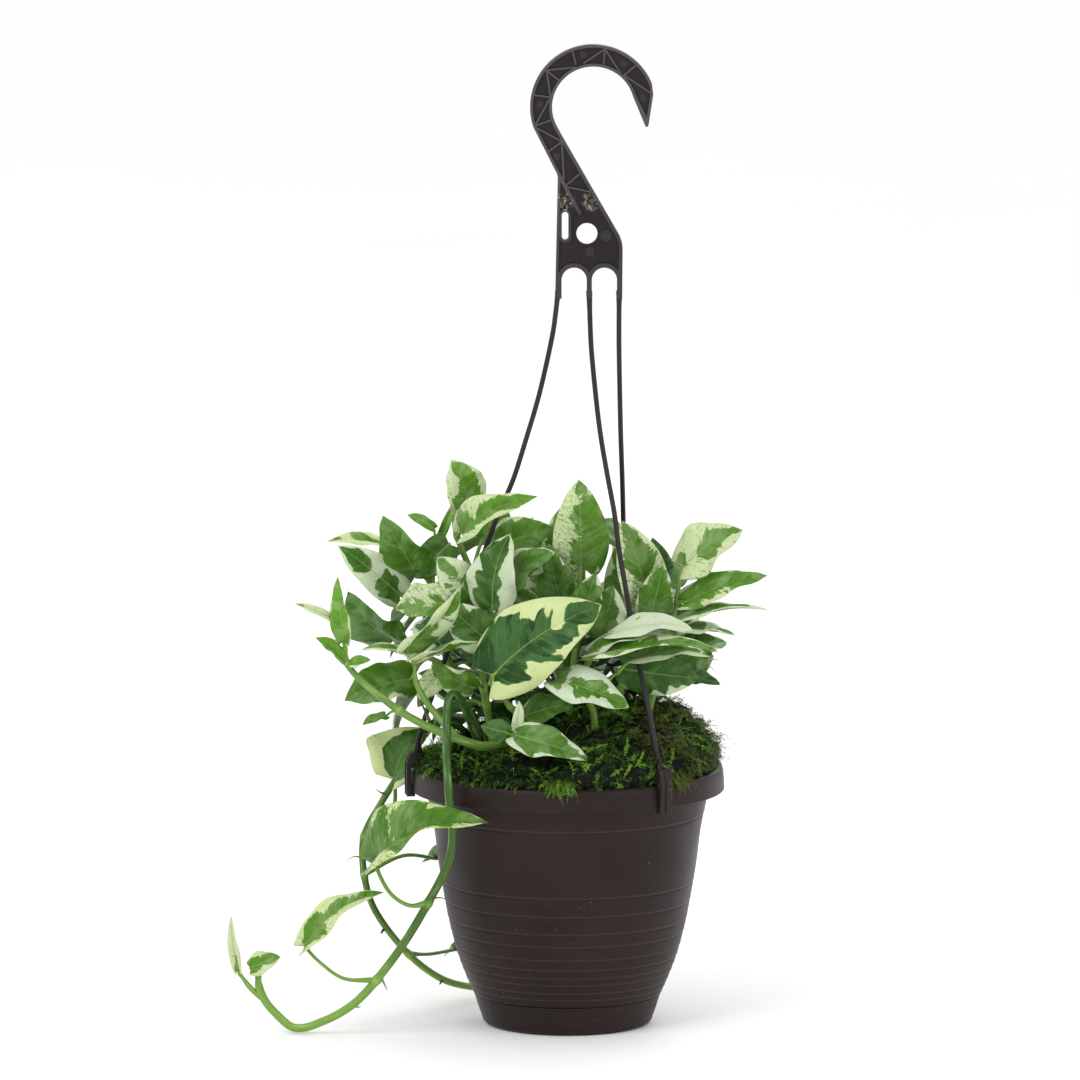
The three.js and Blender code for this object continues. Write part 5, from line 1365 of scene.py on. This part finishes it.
# Aerial roots and dried sheaths on the stems: where each starts, bends and ends, its radius and
# how brown it is. Places are as seen, like the leaves' places.
SCRAPS = {
    "vine_back": [
        ((-94.5, 20, 121), (-98, 18, 121.5), (-100.8, 16, 123.6), 0.8, 1),
        ((-107, 18, 86), (-112, 16, 87.5), (-117, 14, 84.5), 0.6, 0.2),
        ((-97, 24, 48), (-98, 22, 46.5), (-98.4, 21, 46), 0.9, 1),
        ((-66, 47, 21), (-67, 45, 19), (-67.6, 44, 18), 0.9, 1),
    ],
    "vine_front": [
        ((-71, -58, 66.5), (-66, -60, 67), (-62, -61, 65.4), 0.6, 0.9),
        ((-98, -51, 25), (-96, -53, 21.5), (-94.2, -54, 17.5), 1, 0.3),
        ((-113, -44, 10), (-110, -46, 8.6), (-108, -47, 9), 0.8, 0.3),
    ],
    "stem_shoot_left": [
        ((-83, -38, 202), (-85, -40, 206), (-87.5, -41, 210), 0.9, 1),
        ((-72, -36, 160), (-75, -38, 167), (-79, -39, 174), 1.1, 1),
        ((-69, -34, 184), (-70, -36, 187), (-71.5, -37, 191), 0.8, 0.8),
    ],
    "stem_right": [
        ((66, -26, 186), (74, -28, 189), (78, -29, 185), 0.5, 0.7),
        ((70, -24, 190), (77, -26, 193), (81, -27, 190), 0.4, 0.4),
    ],
}


def stem_piece(name, routes, leaves, seed):
    """One leafy stem: its stems, stalks, blades and roots in one mesh with two materials. A stem
    swells and carries a brown scar at each joint, and thins towards its end. A stalk swells where
    it clasps the stem and where it meets the blade. Vines grow paler towards the ground, and a
    vine's top, up among the leaves, is painted darker as shade."""
    parts = []
    joints = np.array([leaf.start for leaf in leaves])
    vine = name.startswith("vine")
    for radius, points in routes:
        path = through(points, 10)
        gaps = np.linalg.norm(path[:, None] - joints[None], axis=2).min(1)
        joint = np.exp(-(gaps / 2) ** 2)
        end = np.clip(np.linspace(len(path), 0, len(path)) / 10, 0.35, 1)
        wide = radius * (0.92 + 0.25 * joint) * end ** 0.4
        if not vine:
            wide *= np.linspace(1, 0.55, len(path))
        low = 1 - smooth_step(path[:, 2], 12, 62)
        scar = 0.7 * np.exp(-((gaps - 1.2) / 0.5) ** 2)
        pale = np.maximum(0.6 * low, 0.3 * (not vine))
        # A vine's top is painted darker, as the shade inside the plant.
        pale = 0.15 + pale + 0.5 * joint - 0.2 * vine * smooth_step(path[:, 2], 120, 170)
        parts.append(stalk_part(path, wide, 12, pale, scar))
    for number, leaf in enumerate(leaves):
        into = leaf.base + leaf.along * 0.05 * leaf.length - leaf.out * 0.3
        path = through([*leaf.stalk_points(), leaf.base, into], 8)
        share = np.linspace(0, 1, len(path))
        swell = 0.6 * np.exp(-(share / 0.14) ** 2) + 0.25 * np.exp(-((share - 0.93) / 0.06) ** 2)
        size = min(1.2, 0.6 + leaf.width / 45)
        wide = size * (0.9 + swell) * np.clip((1.02 - share) / 0.06, 0.3, 1) ** 0.5
        parts.append(stalk_part(path, wide, 10, 0.45 + 0.3 * leaf.look[2], 0.1))
        parts.append(blade_part(leaf, seed * 31.7 + number * 3.31))
    for *places, radius, brown in SCRAPS.get(name, []):
        path = through([seen(place) for place in places], 8)
        parts.append(stalk_part(path, radius * np.linspace(1, 0.12, len(path)), 8, 0.6, brown))
    points, faces = merged([part[0] for part in parts])
    made = build_mesh(name + "_grown", points, faces)
    kinds = (("place", "FLOAT_VECTOR", "vector"), ("share", "FLOAT_VECTOR", "vector"),
             ("look", "FLOAT_COLOR", "color"))
    for column, (label, *kind) in enumerate(kinds, 1):
        set_numbers(made, label, np.concatenate([part[column] for part in parts]), *kind)
    counts = [sum(len(group) for group in part[0][1]) for part in parts]
    material = np.repeat([part[4] for part in parts], counts)
    finish(made, blade_look, "leaves", name)
    made.data.materials.append(stalk_look)
    made.data.polygons.foreach_set("material_index", material.astype(np.int32))


def blade_material(name):
    """Variegated leaf. A field that the mesh carries says how green a point is. Noise drawn out
    along the side veins is added to it, and where the sum passes a half the blade turns green,
    with jagged edges. A second noise lays paler green inside, and fine flecks lie in the cream."""
    made, tree, shader, _ = bare_material(name)
    place = node(tree, "SeparateXYZ", {0: carried(tree, "place", "Vector")}).outputs
    share = node(tree, "SeparateXYZ", {0: carried(tree, "share", "Vector")}).outputs
    parts = node(tree, "SeparateColor", {0: carried(tree, "look", "Color")}).outputs
    field, cream, deep, fleck = parts[0], parts[1], parts[2], carried(tree, "look", "Alpha")
    aside = maths(tree, "ABSOLUTE", place[0])
    vein = maths(tree, "SUBTRACT", place[1], times(tree, aside, 0.75))

    def streaks(across, along, shift, detail, roughness):
        """Noise whose patches are longer along the side veins than across them."""
        vector = node(tree, "CombineXYZ", {
            0: times(tree, place[0], across),
            1: times(tree, vein, along),
            2: plus(tree, place[2], shift)}).outputs[0]
        return noise(tree, vector, 1.0, detail, roughness)

    wide = maths(tree, "SUBTRACT", streaks(0.06, 0.075, 0, 1.6, 0.5), 0.5)
    fine = maths(tree, "SUBTRACT", streaks(0.25, 0.45, 2, 3, 0.55), 0.5)
    jagged = times(tree, fine, plus(tree, 0.05, times(tree, fleck, 0.75)))
    green = plus(tree, field, times(tree, wide, 1.6))
    green = stepped(tree, plus(tree, green, jagged), 0.48, 0.52)
    flecks = plus(tree, streaks(0.55, 0.9, 3, 2, 0.6), times(tree, fleck, 0.16))
    flecks = stepped(tree, flecks, 0.68, 0.76)
    green = maths(tree, "MAXIMUM", green, times(tree, flecks, 0.7))
    paler = stepped(tree, streaks(0.08, 0.11, 7, 3, 0.55), 0.44, 0.56)
    cloudy = streaks(0.2, 0.3, 11, 3, 0.5)

    fresh = mixed(tree, deep, colour(98, 150, 34), colour(22, 62, 14))
    hazy = mixed(tree, deep, colour(138, 168, 96), colour(66, 106, 50))
    leafy = mixed(tree, times(tree, paler, 0.7), fresh, hazy)
    leafy = mixed(tree, stepped(tree, cloudy, 0.4, 0.75, 0, 0.4), leafy, colour(24, 62, 8))
    pale = mixed(tree, cream, colour(186, 198, 174), colour(190, 202, 140))
    pale = mixed(tree, stepped(tree, cloudy, 0.42, 0.8, 0, 0.45), pale, colour(172, 196, 122))
    shade = mixed(tree, green, pale, leafy)

    taper = maths(tree, "SUBTRACT", 1.15, share[1])
    rib = stepped(tree, maths(tree, "DIVIDE", aside, taper), 0.2, 0.6, 0.55, 0)
    shade = mixed(tree, rib, shade, colour(132, 168, 84))
    wave = maths(tree, "SINE", times(tree, vein, 2 * math.pi / VEIN_GAP))
    veins = stepped(tree, wave, 0.88, 1, 0, 0.07)
    shade = mixed(tree, veins, shade, colour(150, 186, 104))
    under = stepped(tree, share[2], -0.2, -0.6, 0, 0.55)
    shade = mixed(tree, under, shade, colour(124, 152, 100))
    relief = times(tree, streaks(0.16, 0.5, 5, 2, 0.5), 1.6)
    relief = plus(tree, times(tree, wave, -0.15), relief)
    feed(tree, shader, {
        "Base Color": shade, "Roughness": stepped(tree, cloudy, 0.3, 0.7, 0.3, 0.46),
        "Specular IOR Level": 0.22, "Normal": bump(tree, relief, 0.4, 0.0006),
        "Subsurface Weight": 0.08, "Subsurface Radius": (0.6, 1.0, 0.3),
        "Subsurface Scale": 0.0015})
    return made


def stalk_material(name):
    """Stem and stalk: green with pale streaks along it, brown at the joints."""
    made, tree, shader, point = bare_material(name)
    parts = node(tree, "SeparateColor", {0: carried(tree, "look", "Color")}).outputs
    drawn = node(tree, "Mapping", {0: carried(tree, "place", "Vector"), 3: (0.55, 0.05, 1)})
    drawn = drawn.outputs[0]
    streak = noise(tree, drawn, 1.0, 3, 0.6)
    shade = mixed(tree, parts[0], colour(46, 82, 30), colour(130, 170, 68))
    shade = mixed(tree, stepped(tree, streak, 0.5, 0.72, 0, 0.6), shade, colour(160, 190, 112))
    spots = noise(tree, point, 900, 4)
    brown = times(tree, parts[1], stepped(tree, spots, 0.3, 0.6))
    shade = mixed(tree, brown, shade, colour(66, 46, 28))
    feed(tree, shader, {"Base Color": shade, "Roughness": 0.34, "Specular IOR Level": 0.3,
                        "Normal": bump(tree, streak, 0.3, 0.0004)})
    return made


blade_look = blade_material("variegated_leaf")
stalk_look = stalk_material("green_stalk")
for number, (name, (routes, leaves)) in enumerate(stems.items(), 1):
    stem_piece(name, routes, leaves, number)

# The studio
# A plain pale floor and soft light from all round, with the camera a little above the pot, as
# in the photograph.
VIEW_DISTANCE = 9
VIEW_LENS = 572.7
VIEW_TARGET = Vector((-0.0144, 0, 0.2561))
FLOOR_REACH = 16000
FLOOR_DROP = 0.2
corners = np.array([(-1, -1, 0), (1, -1, 0), (1, 1, 0), (-1, 1, 0)]) * FLOOR_REACH
floor = build_mesh("studio_floor", corners - (0, 0, FLOOR_DROP), [np.array([[0, 1, 2, 3]])])
floor_look, tree, shader, place = bare_material("studio_floor")
tint = mixed(tree, noise(tree, place, 3, 2), (0.96, 0.96, 0.96, 1), (0.99, 0.99, 0.99, 1))
feed(tree, shader, {"Base Color": tint, "Roughness": 0.7})
floor.data.materials.append(floor_look)

world = bpy.data.worlds.new("studio")
world.use_nodes = True
sky = world.node_tree
feed(sky, sky.nodes["Background"], {"Color": (1, 1, 1, 1), "Strength": 1})
bpy.context.scene.world = world


def softbox(name, place, target, size, power):
    """A square area light that looks at a point."""
    data = bpy.data.lights.new(name, "AREA")
    data.size = size
    data.energy = power
    lamp = bpy.data.objects.new(name, data)
    lamp.location = place
    lamp.rotation_euler = (Vector(target) - Vector(place)).to_track_quat("-Z", "Y").to_euler()
    bpy.context.scene.collection.objects.link(lamp)


softbox("key_light", (-1.2, -1.6, 1.9), (0, 0, 0.2), 1.2, 22)
softbox("fill_light", (1.7, -1.2, 0.9), (0, 0, 0.2), 1.2, 5)
softbox("back_light", (0.6, 1.8, 1.4), (0, 0, 0.25), 1.2, 9)

view = bpy.data.cameras.new("view")
view.lens = VIEW_LENS
camera = bpy.data.objects.new("view", view)
back = Vector((0, -math.cos(VIEW_HEIGHT), math.sin(VIEW_HEIGHT)))
camera.location = VIEW_TARGET + VIEW_DISTANCE * back
camera.rotation_euler = (-back).to_track_quat("-Z", "Y").to_euler()
view.clip_end = 40
bpy.context.scene.collection.objects.link(camera)
bpy.context.scene.camera = camera
bpy.context.scene.view_settings.view_transform = "Standard"
